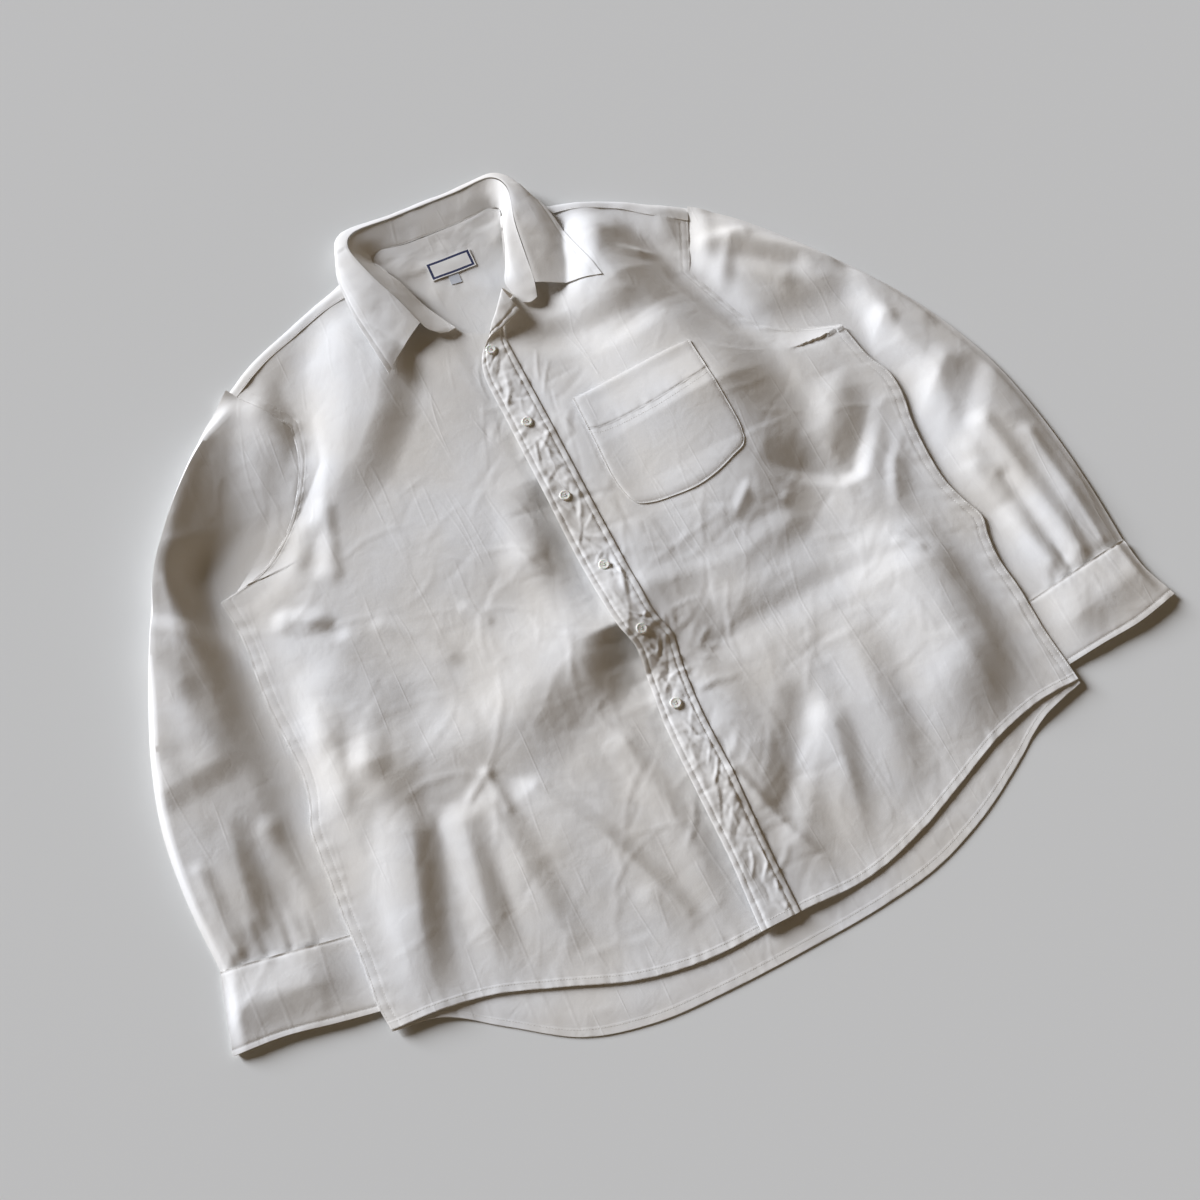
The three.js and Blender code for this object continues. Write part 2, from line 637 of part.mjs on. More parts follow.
// How clear of the body a sleeve's point is: 0 where the body lies on it, 1 well outside.
function clearOfBody(side, x, y) {
  const seam = column(SIDE_SEAM, side, y);
  const out = side === 'right' ? seam - x : x - seam;
  return mix(smooth((out - 12) / 48), 1, smooth((y - 124) / 44));
}

// A flattened tube as an outer and an inner ring at each station: across the top, then back under.
function tube(side, rows, first) {
  const inset = CLOTH * 1.2;
  const outerRings = [];
  const innerRings = [];
  const lines = rows.map((row) => sample(
    [point(row.outX, row.outY), point(row.aX, row.aY), point(row.bX, row.bY), point(row.inX, row.inY)],
    GRID.armhole,
  ));
  const crowns = rows.map((row) => row.crown);
  if (first) {
    lines.unshift(first.map((p, j) => {
      const run = first[Math.min(j + 1, first.length - 1)].clone().sub(first[Math.max(j - 1, 0)]);
      const out = point(run.y, -run.x).normalize();
      const away = Math.sign(out.dot(lines[0][j].clone().sub(p))) || 1;
      return p.clone().addScaledVector(out, away * 2 * SEAM_GAP);
    }));
    crowns.unshift(0);
  }
  lines.forEach((line, i) => {
    const count = line.length - 1;
    const tops = line.map((p, j) => {
      const w = j / count;
      const billow = crowns[i] * (1 - (2 * w - 1) ** 4) + foldHeight(SLEEVE_FOLDS, p.x, p.y);
      const seamTop = frontHeight(p.x, p.y) + CLOTH;
      const loose = SLEEVE_FLAT + Math.max(0, billow) * clearOfBody(side, p.x, p.y);
      return first && i === 0 ? Math.max(SLEEVE_FLAT, seamTop) : loose;
    });
    const narrowed = line.map((p) => p.clone());
    narrowed[0].lerp(line[count], inset / line[0].distanceTo(line[count]));
    narrowed[count].lerp(line[0], inset / line[0].distanceTo(line[count]));
    const ringOf = (points, top, bottom) => [
      ...points.map((p, j) => point(p.x, p.y, top[j])),
      ...points.map((p) => point(p.x, p.y, bottom)).reverse(),
    ];
    outerRings.push(ringOf(line, tops, 0));
    innerRings.push(ringOf(narrowed, tops.map((z) => z - CLOTH), CLOTH));
  });
  return wall(outerRings, innerRings, true);
}

// ---------------------------------------------------------------- assembly

add('back', makeBack(), COLOURS.poplin);
add('yoke', makeYoke(), COLOURS.poplin);
add('front_right', makeRightFront(), COLOURS.poplin);
add('front_left', makeLeftFront(), COLOURS.poplin);
add('placket', makePlacket(), COLOURS.poplin);
add('pocket', makePocket(), COLOURS.poplin);
add('sleeve_right', tube('right', RIGHT_SLEEVE, [...RIGHT.armhole].reverse()), COLOURS.poplin);
add('sleeve_left', tube('left', LEFT_SLEEVE, [...LEFT.armhole].reverse()), COLOURS.poplin);
add('cuff_right', tube('right', RIGHT_CUFF), COLOURS.poplin);
add('cuff_left', tube('left', LEFT_CUFF), COLOURS.poplin);
add('collar_stand', makeStand(), COLOURS.poplin);
add('collar', makeCollar(), COLOURS.poplin);
add('label', plate(LABEL, CLOTH + neckRise(LABEL.y + LABEL.height / 2) + LABEL_LIFT), COLOURS.label);
add('size_tab', plate(SIZE_TAB, CLOTH + LABEL_LIFT), COLOURS.label);

BUTTONS.forEach((row, i) => {
  const button = add(`button_${i + 1}`, makeButton(), COLOURS.button);
  button.rotation.x = Math.PI / 2;
  button.position.set(row.x - CENTRE.x, row.y - CENTRE.y, seatOf(row));
});

export default shirt;
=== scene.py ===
import functools
import math

import bmesh
import bpy
import numpy as np
from bpy.props import FloatProperty, FloatVectorProperty, IntProperty, PointerProperty
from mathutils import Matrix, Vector


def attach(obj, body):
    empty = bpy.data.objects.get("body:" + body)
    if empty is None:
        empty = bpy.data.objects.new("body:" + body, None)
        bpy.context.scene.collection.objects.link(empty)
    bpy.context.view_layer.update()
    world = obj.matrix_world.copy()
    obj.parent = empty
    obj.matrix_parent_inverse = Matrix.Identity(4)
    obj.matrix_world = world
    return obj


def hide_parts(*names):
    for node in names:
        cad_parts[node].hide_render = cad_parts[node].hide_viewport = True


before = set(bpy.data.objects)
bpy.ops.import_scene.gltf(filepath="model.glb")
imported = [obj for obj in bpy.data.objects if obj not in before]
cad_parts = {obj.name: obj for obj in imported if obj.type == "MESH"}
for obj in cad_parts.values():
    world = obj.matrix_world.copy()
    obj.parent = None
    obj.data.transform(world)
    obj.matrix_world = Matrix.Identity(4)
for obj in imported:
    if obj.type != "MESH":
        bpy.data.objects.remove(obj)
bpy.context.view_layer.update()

bl_info = {
    "name": "Crumpled Button-Up Shirt",
    "version": (1, 0, 0),
    "blender": (4, 5, 0),
    "location": "View3D > Sidebar > Shirt",
    "description": "Builds a white poplin shirt laid flat, piece by piece, on its packed frame",
    "category": "Add Mesh",
}

# ------------------------------------------------------------------ sizes, in millimetres on the table
# +X is the wearer's left and +Y runs from the hem to the collar. Right and left are the wearer's.

CENTRE = np.array([3.0, 4.1, 0.0])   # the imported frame's origin on the table
SLEEVE_FLAT = 2.7                # a sleeve's two layers where the body lies on them
BACK_LIFT = 3.7                  # how far the sleeves lift the back there
OVERLAP_LIFT = 4.6               # how far the buttoned-over front rides above the other
FRONT_LOFT = 7.6                 # how far the fronts billow off the back
UNDERARM = 13                    # row of the side boundary at the underarm
BACK_SEAM = 19                   # row where the yoke's back seam meets the armhole
SHOULDER = 21                    # row at the shoulder's front seam
UNDERARM_DROOP = 16.0            # how far the rows beside an underarm droop towards the hem
FOOT = -395                      # the placket's lower end
PLACKET_TOP = 205                # where the placket starts to turn out
PLACKET_WIDTH = 37
POCKET_WIDTH, POCKET_DEPTH = 132, 139
CUFF_LENGTH, CUFF_WIDTH = 72, 128
SLEEVE_COLUMNS = 52


def table(columns, rows):
    """Rows of numbers as records with named columns."""
    return [dict(zip(columns, row)) for row in rows]


def values(rows, *names):
    """Some columns of a table as an array."""
    return np.array([[row[name] for name in names] for row in rows], dtype=float)


# The body's side edges, by y.
SIDE_SEAM = table(["y", "right", "left"], [
    [-330, -342, 345], [-310, -345, 345], [-270, -344, 344], [-225, -345, 346], [-192, -344, 345],
    [-165, -344, 349], [-145, -343, 355], [-120, -335, 348], [-95, -332, 343], [-60, -334, 344],
    [-23, -337, 349], [10, -337, 357], [35, -336, 357], [60, -337, 348],
])
ARMHOLE = table(["rightX", "rightY", "leftX", "leftY"], [
    [-342, 94, 342, 105], [-304, 103, 307, 118], [-275, 122, 282, 130], [-247, 152, 258, 157],
    [-223, 198, 246, 190], [-215, 241, 232, 232], [-252, 296, 260, 292], [-259, 307, 268, 309],
])
HEM = table(["x", "front", "back"], [
    [-342, -330, -331], [-300, -333, -339], [-255, -341, -369], [-200, -361, -405],
    [-140, -384, -421], [-80, -395, -425], [0, -395, -425], [80, -396, -422], [140, -382, -414],
    [200, -359, -394], [250, -339, -369], [300, -327, -341], [345, -325, -329],
])
RIGHT_NECKLINE = [[-50, 345], [-39, 310], [-27, 285], [-14, 266], [13, 250]]
LEFT_NECKLINE = [[66, 340], [57, 316], [46, 297], [26, 272], [4, 243]]
PLACKET = table(["y", "left", "right"], [
    [-395, -27, 11], [-330, -23, 12], [-260, -22, 15], [-200, -20, 16], [-153, -14, 21],
    [-122, -11, 26], [-100, -17, 20], [-60, -20, 19], [140, -19, 19], [205, -18, 19],
])
# The yoke's sections: its back seam, its fold over the shoulder, and its front or neck edge.
YOKE = table(["backX", "backY", "foldX", "foldY", "endX", "endY"], [
    [-215, 241, -259, 307, -252, 296], [-186, 258, -222, 333, -212, 324],
    [-150, 271, -180, 352, -173, 341], [-115, 279, -140, 369, -133, 355],
    [-85, 284, -104, 384, -98, 362], [-66, 286, -72, 398, -58, 365],
    [-52, 287, -68, 398, -69, 400], [-26, 288, -28, 380, -28, 396], [6, 288, 6, 380, 6, 395],
    [38, 287, 42, 380, 43, 396], [64, 285, 82, 397, 83, 398], [80, 283, 90, 398, 74, 365],
    [98, 281, 120, 380, 116, 362], [130, 273, 158, 367, 153, 354],
    [170, 260, 206, 346, 194, 337], [203, 246, 241, 325, 226, 312],
    [232, 232, 268, 309, 260, 292],
])
NECK_SECTIONS = (6, 7, 8, 9, 10)
# A sleeve's rows: its outer edge, two places between, its inner fold, and how high it stands.
STATION = ["outX", "outY", "aX", "aY", "bX", "bY", "inX", "inY", "crown"]
RIGHT_SLEEVE = table(STATION, [
    [-298, 275, -262, 222, -282, 141, -334, 91, 18], [-345, 217, -312, 170, -318, 122, -331, 76, 23],
    [-386, 155, -358, 119, -346, 84, -322, 50, 24], [-412, 97, -376, 66, -332, 30, -292, 5, 22],
    [-434, 35, -385, 10, -325, -22, -272, -50, 18], [-451, -24, -395, -50, -335, -76, -278, -100, 15],
    [-462, -88, -410, -106, -350, -126, -297, -145, 14],
    [-462, -156, -415, -168, -365, -181, -318, -193, 11],
    [-455, -223, -415, -230, -373, -238, -332, -245, 5],
])
LEFT_SLEEVE = table(STATION, [
    [306, 276, 284, 212, 298, 140, 335, 100, 10], [350, 222, 326, 172, 330, 128, 336, 84, 11],
    [396, 155, 368, 116, 358, 82, 334, 50, 11], [424, 105, 386, 70, 340, 32, 296, 5, 11],
    [446, 52, 396, 20, 336, -20, 276, -50, 11], [462, -5, 406, -40, 340, -76, 282, -100, 11],
    [470, -80, 416, -102, 355, -126, 300, -145, 11],
    [470, -158, 422, -170, 370, -183, 322, -194, 9],
    [465, -226, 422, -231, 379, -236, 336, -241, 5],
])
RIGHT_CUFF = table(STATION, [
    [-455, -223, -415, -230, -373, -238, -332, -245, 5],
    [-462, -258, -420, -264, -376, -271, -332, -280, 7],
    [-468, -291, -424, -295, -378, -305, -333, -314, 6],
])
LEFT_CUFF = table(STATION, [
    [465, -226, 422, -231, 379, -236, 336, -241, 5],
    [466, -258, 424, -266, 380, -273, 337, -276, 7],
    [476, -294, 430, -303, 384, -306, 338, -310, 6],
])
# The sleeves' inner folds under the body, by y.
TUCKED_EDGE = table(["y", "right", "left"], [
    [-330, -333, 338], [-245, -332, 336], [-193, -318, 322], [-145, -297, 300],
    [-100, -278, 282], [-50, -272, 276], [5, -292, 296], [57, -336, 346],
])
# Sections of the collar pieces, each in three places: sewn edge, middle or roll, and free edge.
ROLL = ["x0", "y0", "z0", "x1", "y1", "z1", "x2", "y2", "z2"]
BUTTONS = [[0, 229], [-2, 137], [-3, 47], [-1, -35], [1, -110], [-2, -185]]
POCKET = {"left": 50, "right": 182, "top": 141, "hem": 43, "bottom": 2}
STAND = table(ROLL, [
    [-21, 272, 13.5, -30, 270, 14.5, -38, 271, 15.5], [-25, 281, 12.5, -37, 280, 16, -49, 281, 19],
    [-38, 310, 11, -51, 315, 18, -61, 318, 23], [-51, 350, 12.5, -64, 354, 20, -76, 360, 26],
    [-67, 392, 8, -76, 398, 16, -84, 407, 22.5], [-62, 398.8, 6.6, -66, 411, 12.5, -73, 424, 17],
    [-26, 396.8, 6.3, -27, 412, 9.5, -28, 428, 12.5], [6, 396.3, 6.3, 6, 412, 9.3, 6, 429, 12],
    [42, 396.8, 6.3, 43, 412, 9.5, 46, 429, 12.5], [76, 398.8, 6.6, 80, 411, 12.5, 87, 426, 18],
    [82, 393, 8, 88, 397, 18, 96, 404, 25], [70, 352, 13.5, 70, 350, 21, 84, 352, 27],
    [58, 322, 13, 62, 318, 20, 78, 312, 25], [47, 298, 15, 58, 290, 19, 74, 284, 22],
    [53, 268, 16.5, 61, 264, 17.5, 69, 266, 18.5],
])
COLLAR = table(ROLL, [
    [-53.6, 288.1, 21.1, -77, 272, 18, -105, 244, 12], [-63.4, 318.2, 24.4, -85, 309, 22, -109, 290, 15],
    [-78.4, 361.1, 27.4, -98, 357, 25, -111, 345, 18], [-85.8, 408.2, 24, -99, 404, 21, -105, 391, 16],
    [-74.6, 425.6, 18.5, -85, 433, 12, -84, 414, 2.6], [-28, 430, 13.8, -28, 436, 8.5, -28, 412, 2.2],
    [6, 431, 13.3, 6, 437, 8.2, 6, 411, 2.2], [46, 431, 13.8, 46, 437, 8.5, 46, 412, 2.2],
    [88.6, 427.6, 19.5, 97, 434, 12.5, 96, 414, 3], [97.8, 405.3, 26.5, 111, 398, 23, 119, 385, 17],
    [86.3, 352.2, 29.3, 108, 345, 26, 127, 345, 19], [80.1, 311.1, 26.2, 104, 304, 23, 131, 298, 16],
    [75.3, 280.5, 22.7, 104, 267, 19, 136, 250, 13],
])
# The placket's turned-out top: its free edge, its roll and its sewn edge.
TURN = table(["freeX", "freeY", "freeZ", "rollX", "rollY", "rollZ", "endX", "endY", "endZ"], [
    [-13, 223, 0, 3, 225, 0, 19, 226, 0], [-4, 236, 0.3, 8, 238, 0, 20, 240, 0],
    [5, 242, 2.5, 8, 248, 2, 25, 255, 0], [22, 247, 5, 25, 269, 5, 33, 272, 0],
    [45, 257, 7, 39, 287, 7, 48, 281, 0],
])

# ------------------------------------------------------------------ folds and creases
# A path over the table, how far the fold reaches to the left and to the right of it, its height (negative in
# a trough, a list along the path), and how crisp its crest is, from 0 for a billow to 1 for a pressed line.

FOLD = ["path", "left", "right", "height", "crisp"]
FRONT_FOLDS = table(FOLD, [
    [[(-88, 348), (-98, 282), (-128, 222), (-168, 178), (-214, 150)], 44, 96, [6, 7, 6.5, 4.5, 1.5], 0.1],
    [[(-170, 350), (-194, 285), (-222, 220), (-258, 165), (-310, 118)], 60, 40, [-3, -6, -7, -5, -2], 0.25],
    [[(-264, 316), (-240, 244), (-268, 158)], 46, 60, [8, 10, 4], 0.1],
    [[(-216, 138), (-226, 108), (-233, 74)], 12, 20, 1.3, 0.4], [[(-250, 92), (-236, 116)], 20, 20, -2, 0.1],
    [[(-292, 46), (-266, 32)], 18, 18, 2.5, 0.2], [[(-264, 26), (-254, 16)], 14, 14, -1.4, 0.1],
    [[(-34, 60), (-52, 5), (-34, -50)], 40, 44, [2, 5, 2], 0.1],
    [[(-24, -104), (-74, -110), (-165, -116)], 60, 90, [9, 7, 0], 0.1],
    [[(-340, -128), (-130, -136)], 50, 60, 3, 0.1],
    [[(-292, -36), (-306, -74), (-318, -112)], 44, 34, [2, 6, 5], 0.1],
    [[(-262, -74), (-274, -112)], 26, 20, [1, 4], 0.1],
    [[(-212, 4), (-186, -20), (-168, -52)], 16, 16, 1.4, 0.4], [[(-134, -14), (-122, -34)], 10, 12, 1.1, 0.6],
    [[(-182, -168), (-178, -205)], 10, 10, 1.1, 0.8], [[(-182, -168), (-204, -182)], 9, 9, 1.1, 0.8],
    [[(-190, -196), (-178, -330)], 24, 30, 2.6, 0.2],
    [[(-150, -200), (-112, -262), (-76, -352)], 16, 26, 2.8, 0.5],
    [[(-218, -200), (-240, -330)], 24, 26, 3.4, 0.2],
    [[(-262, -190), (-286, -262), (-300, -330)], 26, 44, 5, 0.2],
    [[(-60, -200), (-44, -300), (-52, -385)], 20, 26, 1.6, 0.2],
    [[(-100, -330), (-92, -392)], 16, 20, 1.4, 0.3],
    [[(120, 356), (136, 300), (148, 244), (156, 196)], 78, 66, [14, 17, 15, 6], 0.1],
    [[(116, 364), (165, 354), (212, 336)], 20, 84, [8, 10, 8], 0.1],
    [[(262, 322), (272, 262)], 30, 46, [12, 8], 0.1],
    [[(176, 350), (200, 305), (220, 262), (242, 222), (266, 178), (304, 128)],
     26, 70, [-4, -6, -6, -6, -5, -3], 0.35],
    [[(168, 282), (190, 272), (214, 264)], 10, 16, [0, 2.2, 0], 0.6],
    [[(34, 256), (58, 224), (100, 208), (146, 204)], 26, 34, -3, 0.1],
    [[(178, 190), (186, 90), (188, 30)], 80, 180, [9, 18, 13], 0.1],
    [[(184, -2), (222, -28), (252, -46), (266, -46), (296, -16), (330, 20)],
     44, 18, [-1, -4, -6, -6, -4, -2], 0.4],
    [[(286, -96), (306, -60), (334, -34)], 12, 22, [1, 3, 2], 0.4],
    [[(112, -16), (138, -42), (160, -24), (184, -50), (206, -34)], 12, 12, [0, 1.5, 1.5, 1.5, 0], 0.5],
    [[(30, -70), (110, -84), (180, -70)], 20, 26, 1.4, 0.2],
    [[(40, -104), (100, -112), (200, -108)], 30, 30, [1, 2, 0], 0.1],
    [[(60, -150), (190, -140), (312, -146)], 20, 26, -1.3, 0.2],
    [[(262, -136), (278, -148)], 10, 12, 1.2, 0.5],
    [[(256, -170), (268, -316)], 66, 80, [8, 15], 0.1],
    [[(104, -236), (70, -280), (36, -322)], 22, 30, -2.4, 0.1],
    [[(16, -262), (34, -320), (62, -388)], 10, 14, 2.2, 0.6],
    [[(180, -200), (160, -330)], 34, 34, 2.2, 0.1], [[(120, -262), (96, -360)], 20, 26, 2.0, 0.3],
])
SLEEVE_FOLDS = table(FOLD, [
    [[(-268, 262), (-296, 196), (-340, 132)], 40, 50, -5, 0.1],
    [[(-306, 262), (-352, 190)], 20, 20, 2.1, 0.2],
    [[(-398, 104), (-368, 84), (-338, 46)], 34, 18, -4.9, 0.2], [[(-432, 96), (-398, 30)], 26, 26, 2.1, 0.2],
    [[(-412, 60), (-392, -30)], 24, 24, 2.1, 0.1], [[(-444, -60), (-392, -52)], 24, 24, 2.8, 0.3],
    [[(-444, -16), (-404, -110), (-414, -195)], 20, 24, 2.8, 0.4],
    [[(-425, -60), (-382, -190)], 24, 24, -2.8, 0.1],
    [[(-372, -130), (-360, -220)], 16, 18, 2.8, 0.3], [[(-440, -140), (-436, -215)], 12, 14, 2.1, 0.4],
    [[(258, 258), (302, 250)], 16, 16, 2.8, 0.5], [[(250, 202), (287, 250)], 18, 16, 3.5, 0.5],
    [[(275, 232), (330, 190)], 22, 22, -3.5, 0.1], [[(300, 240), (372, 183)], 20, 24, 4.2, 0.4],
    [[(330, 165), (362, 110)], 24, 24, -3.5, 0.1], [[(345, 60), (382, 92)], 18, 20, 3.5, 0.5],
    [[(400, 150), (428, 80)], 20, 24, 2.8, 0.3], [[(350, -30), (412, 20)], 22, 22, 3.2, 0.4],
    [[(380, -60), (440, 0)], 22, 22, -2.2, 0.1], [[(372, -100), (386, -215)], 14, 18, 2.8, 0.4],
    [[(408, -60), (418, -215)], 18, 20, 3.5, 0.4], [[(396, -120), (402, -215)], 12, 12, -2.1, 0.2],
    [[(444, -90), (444, -215)], 16, 16, 2.8, 0.4],
])
# Bursts of sharp creases from one point: how far they reach, how many, and how high.
BURSTS = table(["x", "y", "reach", "rays", "height"], [
    [-125, -25, 70, 7, 1.3], [-182, -168, 80, 7, 1.4], [-60, -75, 60, 6, 1.2], [-255, -60, 50, 6, 1.0],
    [-95, -270, 75, 7, 1.2], [-225, -290, 55, 6, 1.1], [-290, 40, 45, 5, 0.9], [-70, 90, 60, 5, 0.8],
    [95, -60, 60, 6, 1.1], [165, -45, 55, 6, 1.1], [250, -50, 60, 6, 1.2], [140, -190, 70, 7, 1.1],
    [235, -230, 60, 6, 1.0], [60, -290, 60, 6, 1.2], [230, 40, 50, 5, 1.0], [110, 235, 50, 5, 0.8],
    [-160, 60, 60, 5, 0.8], [-140, -350, 50, 6, 0.9], [310, -60, 45, 5, 1.0], [190, -330, 50, 5, 0.9],
])
# Loose short creases scattered over a round place: how many, how long, how high, and which way they lean.
SCATTERS = table(["x", "y", "reach", "count", "length", "height", "lean"], [
    [-170, -240, 170, 70, 34, 0.6, 70], [-170, -40, 170, 60, 34, 0.6, 20], [-170, 140, 150, 20, 34, 0.35, 50],
    [170, -260, 160, 60, 32, 0.6, 110], [190, -80, 170, 70, 34, 0.7, 30], [190, 100, 150, 34, 30, 0.5, 120],
    [0, -300, 60, 60, 22, 1.1, 60], [0, -150, 50, 60, 22, 1.3, 20], [0, 0, 60, 50, 22, 1.0, 110],
    [0, 140, 50, 40, 22, 0.9, 60],
])
# How strongly the cloth is crinkled all over, by place.
CRINKLED = table(["x", "y", "reach", "amount"], [
    [0, -130, 240, 0.8], [-180, -120, 220, 0.6], [-180, -300, 180, 0.5], [180, -110, 220, 0.6],
    [180, -300, 180, 0.45], [0, 60, 60, 0.8], [0, -260, 90, 0.5], [230, 60, 120, 0.4], [-290, 60, 80, 0.4],
])


def smooth(t):
    """From 0 to 1 with eased ends."""
    t = np.clip(t, 0, 1)
    return t * t * (3 - 2 * t)


def above(value, floor, blend):
    """The value where it is above the floor, eased into the floor below it."""
    return 0.5 * (value + floor + np.sqrt((value - floor) ** 2 + blend))


def groove(away, place, width):
    """A soft line beside an edge, 1 in its middle."""
    return np.exp(-((away - place) / width) ** 2)


def stepped(point, angle, length):
    """The place a step away from a point of the plan."""
    return point[0] + length * math.cos(angle), point[1] + length * math.sin(angle)


def at(rows, name, where, key="y"):
    """One column of a table, read between its rows."""
    known = values(rows, key, name)
    return np.interp(where, known[:, 0], known[:, 1])


def distance(path, x, y):
    """Distance to a path of straight runs, how far along it the nearest place is, and which side of it."""
    nearest = np.full(np.shape(x), 1e9)
    place, side = np.zeros(np.shape(x)), np.zeros(np.shape(x))
    runs = len(path) - 1
    for n, ((ax, ay), (bx, by)) in enumerate(zip(path, path[1:])):
        dx, dy = bx - ax, by - ay
        t = np.clip(((x - ax) * dx + (y - ay) * dy) / (dx * dx + dy * dy), 0, 1)
        away = np.hypot(x - ax - t * dx, y - ay - t * dy)
        closer = away < nearest
        place = np.where(closer, (n + t) / runs, place)
        leaning = (dx * (y - ay) - dy * (x - ax)) / math.hypot(dx, dy) / np.maximum(away, 1e-6)
        side = np.where(closer, leaning, side)
        nearest = np.minimum(away, nearest)
    return nearest, place, side


def folds(rows, x, y, taper=0.0):
    """Height that a table of folds adds at points of the plan."""
    z = np.zeros(np.shape(x))
    for row in rows:
        widest = max(row["left"], row["right"])
        low = np.min(row["path"], axis=0) - widest
        high = np.max(row["path"], axis=0) + widest
        near = (x > low[0]) & (x < high[0]) & (y > low[1]) & (y < high[1])
        if not near.any():
            continue
        away, place, side = distance(row["path"], x[near], y[near])
        reach = row["right"] + (row["left"] - row["right"]) * smooth(0.5 + 0.5 * side)
        t = np.clip(1 - away / reach, 0, 1)
        shape = (1 - row["crisp"]) * smooth(t) + row["crisp"] * t * t
        ends = 1 - taper + taper * np.sqrt(np.clip(4 * place * (1 - place), 0, 1))
        heights = np.atleast_1d(row["height"])
        z[near] += np.interp(place, np.linspace(0, 1, len(heights)), heights) * shape * ends
    return z


def noise(x, y, size, seed):
    """Smooth seeded noise, about -1 to 1, with bumps of a given size."""
    turn = np.random.default_rng(seed).uniform(0, 2 * math.pi, (64, 64))
    u = (0.8 * x + 0.6 * y) / size + 31.3
    v = (0.8 * y - 0.6 * x) / size + 17.7
    i, j = np.floor(u).astype(int), np.floor(v).astype(int)
    fu, fv = u - i, v - j

    def corner(a, b):
        angle = turn[(i + a) % 64, (j + b) % 64]
        return np.cos(angle) * (fu - a) + np.sin(angle) * (fv - b)

    su, sv = fu ** 3 * (fu * (fu * 6 - 15) + 10), fv ** 3 * (fv * (fv * 6 - 15) + 10)
    low = corner(0, 0) * (1 - su) + corner(1, 0) * su
    high = corner(0, 1) * (1 - su) + corner(1, 1) * su
    return 1.5 * (low * (1 - sv) + high * sv)


def crinkle(x, y, seed):
    """A net of soft ridges of three sizes, like cloth that dried in a heap."""
    wx = x + 14 * noise(x, y, 60, seed + 7)
    wy = y + 14 * noise(x, y, 60, seed + 8)
    net = 0
    for size, height in ((64, 1.5), (34, 0.8), (17, 0.35)):
        net = net + height * (0.6 - np.sqrt(np.abs(noise(wx, wy, size, seed + int(size))) + 0.01))
    return net


@functools.lru_cache
def placket_creases():
    """Seeded sharp creases that cross the placket both ways, as it crumples between its buttons."""
    rng = np.random.default_rng(63)
    rows = []
    for y in np.arange(-388, 226, 4.0):
        x, angle = rng.uniform(-16, 12), rng.choice([-1, 1]) * rng.uniform(0.6, 1.4)
        length, bend = rng.uniform(14, 38), rng.normal(0, 0.25)
        middle = stepped((x, y), angle, length / 2)
        end = stepped(middle, angle + bend, length / 2)
        height = rng.uniform(0.4, 1.3) * rng.choice([-0.6, 1])
        rows.append({"path": [(x, y), middle, end], "left": rng.uniform(2, 5), "right": rng.uniform(3, 6),
                     "height": height, "crisp": 1.0})
    return rows


@functools.lru_cache
def small_creases(seed):
    """Seeded short creases: bursts from a point, and loose ones between them."""
    rng = np.random.default_rng(seed)
    rows = []

    def crease(x, y, angle, length, height):
        bend = rng.normal(0, 0.22)
        path = [(x, y)]
        for _ in range(3):
            path.append(stepped(path[-1], angle, length / 3))
            angle += bend
        reach = rng.uniform(4, 10)
        rows.append({"path": path, "left": reach, "right": 0.7 * reach, "height": height, "crisp": 1.0})

    for burst in BURSTS:
        start = rng.uniform(0, 6.28)
        for k in range(burst["rays"]):
            angle = start + 6.28 * (k + rng.uniform(-0.3, 0.3)) / burst["rays"]
            height = 0.45 * burst["height"] * rng.uniform(0.4, 1) * (1 if k % 2 else -0.8)
            crease(burst["x"], burst["y"], angle, burst["reach"] * rng.uniform(0.5, 1.1), height)
    for field in SCATTERS:
        for _ in range(field["count"]):
            r, a = field["reach"] * math.sqrt(rng.uniform()), rng.uniform(0, 6.28)
            angle = math.radians(field["lean"]) + rng.normal(0, 0.7)
            height = 0.7 * field["height"] * rng.uniform(-0.8, 1)
            length = field["length"] * rng.uniform(0.6, 2.6)
            crease(*stepped((field["x"], field["y"]), a, r), angle, length, height)
    return rows


def crinkled(x, y):
    """All the fine creasing of the body at points of the plan."""
    look = bpy.context.scene.shirt_cloth
    amount = 0.1 + 0.45 * sum(
        row["amount"] * smooth(1 - np.hypot(x - row["x"], y - row["y"]) / row["reach"]) for row in CRINKLED
    )
    fine = folds(small_creases(look.crease_seed), x, y, taper=0.8)
    total = fine + np.minimum(amount, 0.5) * crinkle(x, y, look.crease_seed)
    o = POCKET
    inside = smooth((x - o["left"] + 6) / 10) * smooth((o["right"] + 6 - x) / 10)
    inside = inside * smooth((y - o["bottom"] + 6) / 10) * smooth((o["top"] + 6 - y) / 10)
    return look.crease_strength * total * (1 - 0.75 * inside)


SHOULDER_LINES = [[(row["endX"], row["endY"]) for row in rows] for rows in (YOKE[:5], YOKE[-5:])]


def armhole_path(side):
    """One armhole's seam as a path."""
    return [tuple(p) for p in values(ARMHOLE, side + "X", side + "Y")]


def on_sleeve(x, y):
    """How fully a tucked sleeve carries the body at a point."""
    past = np.where(x < 0, at(TUCKED_EDGE, "right", y) + 68 - x, x - at(TUCKED_EDGE, "left", y) + 68)
    return smooth(past / 46) * smooth((124 - y) / 34)


def back_height(x, y):
    """Underside of the back."""
    return 0.1 + BACK_LIFT * on_sleeve(x, y)


def from_side(x, y):
    """How far inside the nearer side edge a point is."""
    return np.where(x < 0, x - at(SIDE_SEAM, "right", y), at(SIDE_SEAM, "left", y) - x)


@functools.lru_cache
def cloth_thickness():
    """One layer of poplin, in millimetres."""
    return bpy.context.scene.shirt_cloth.thickness * 1000


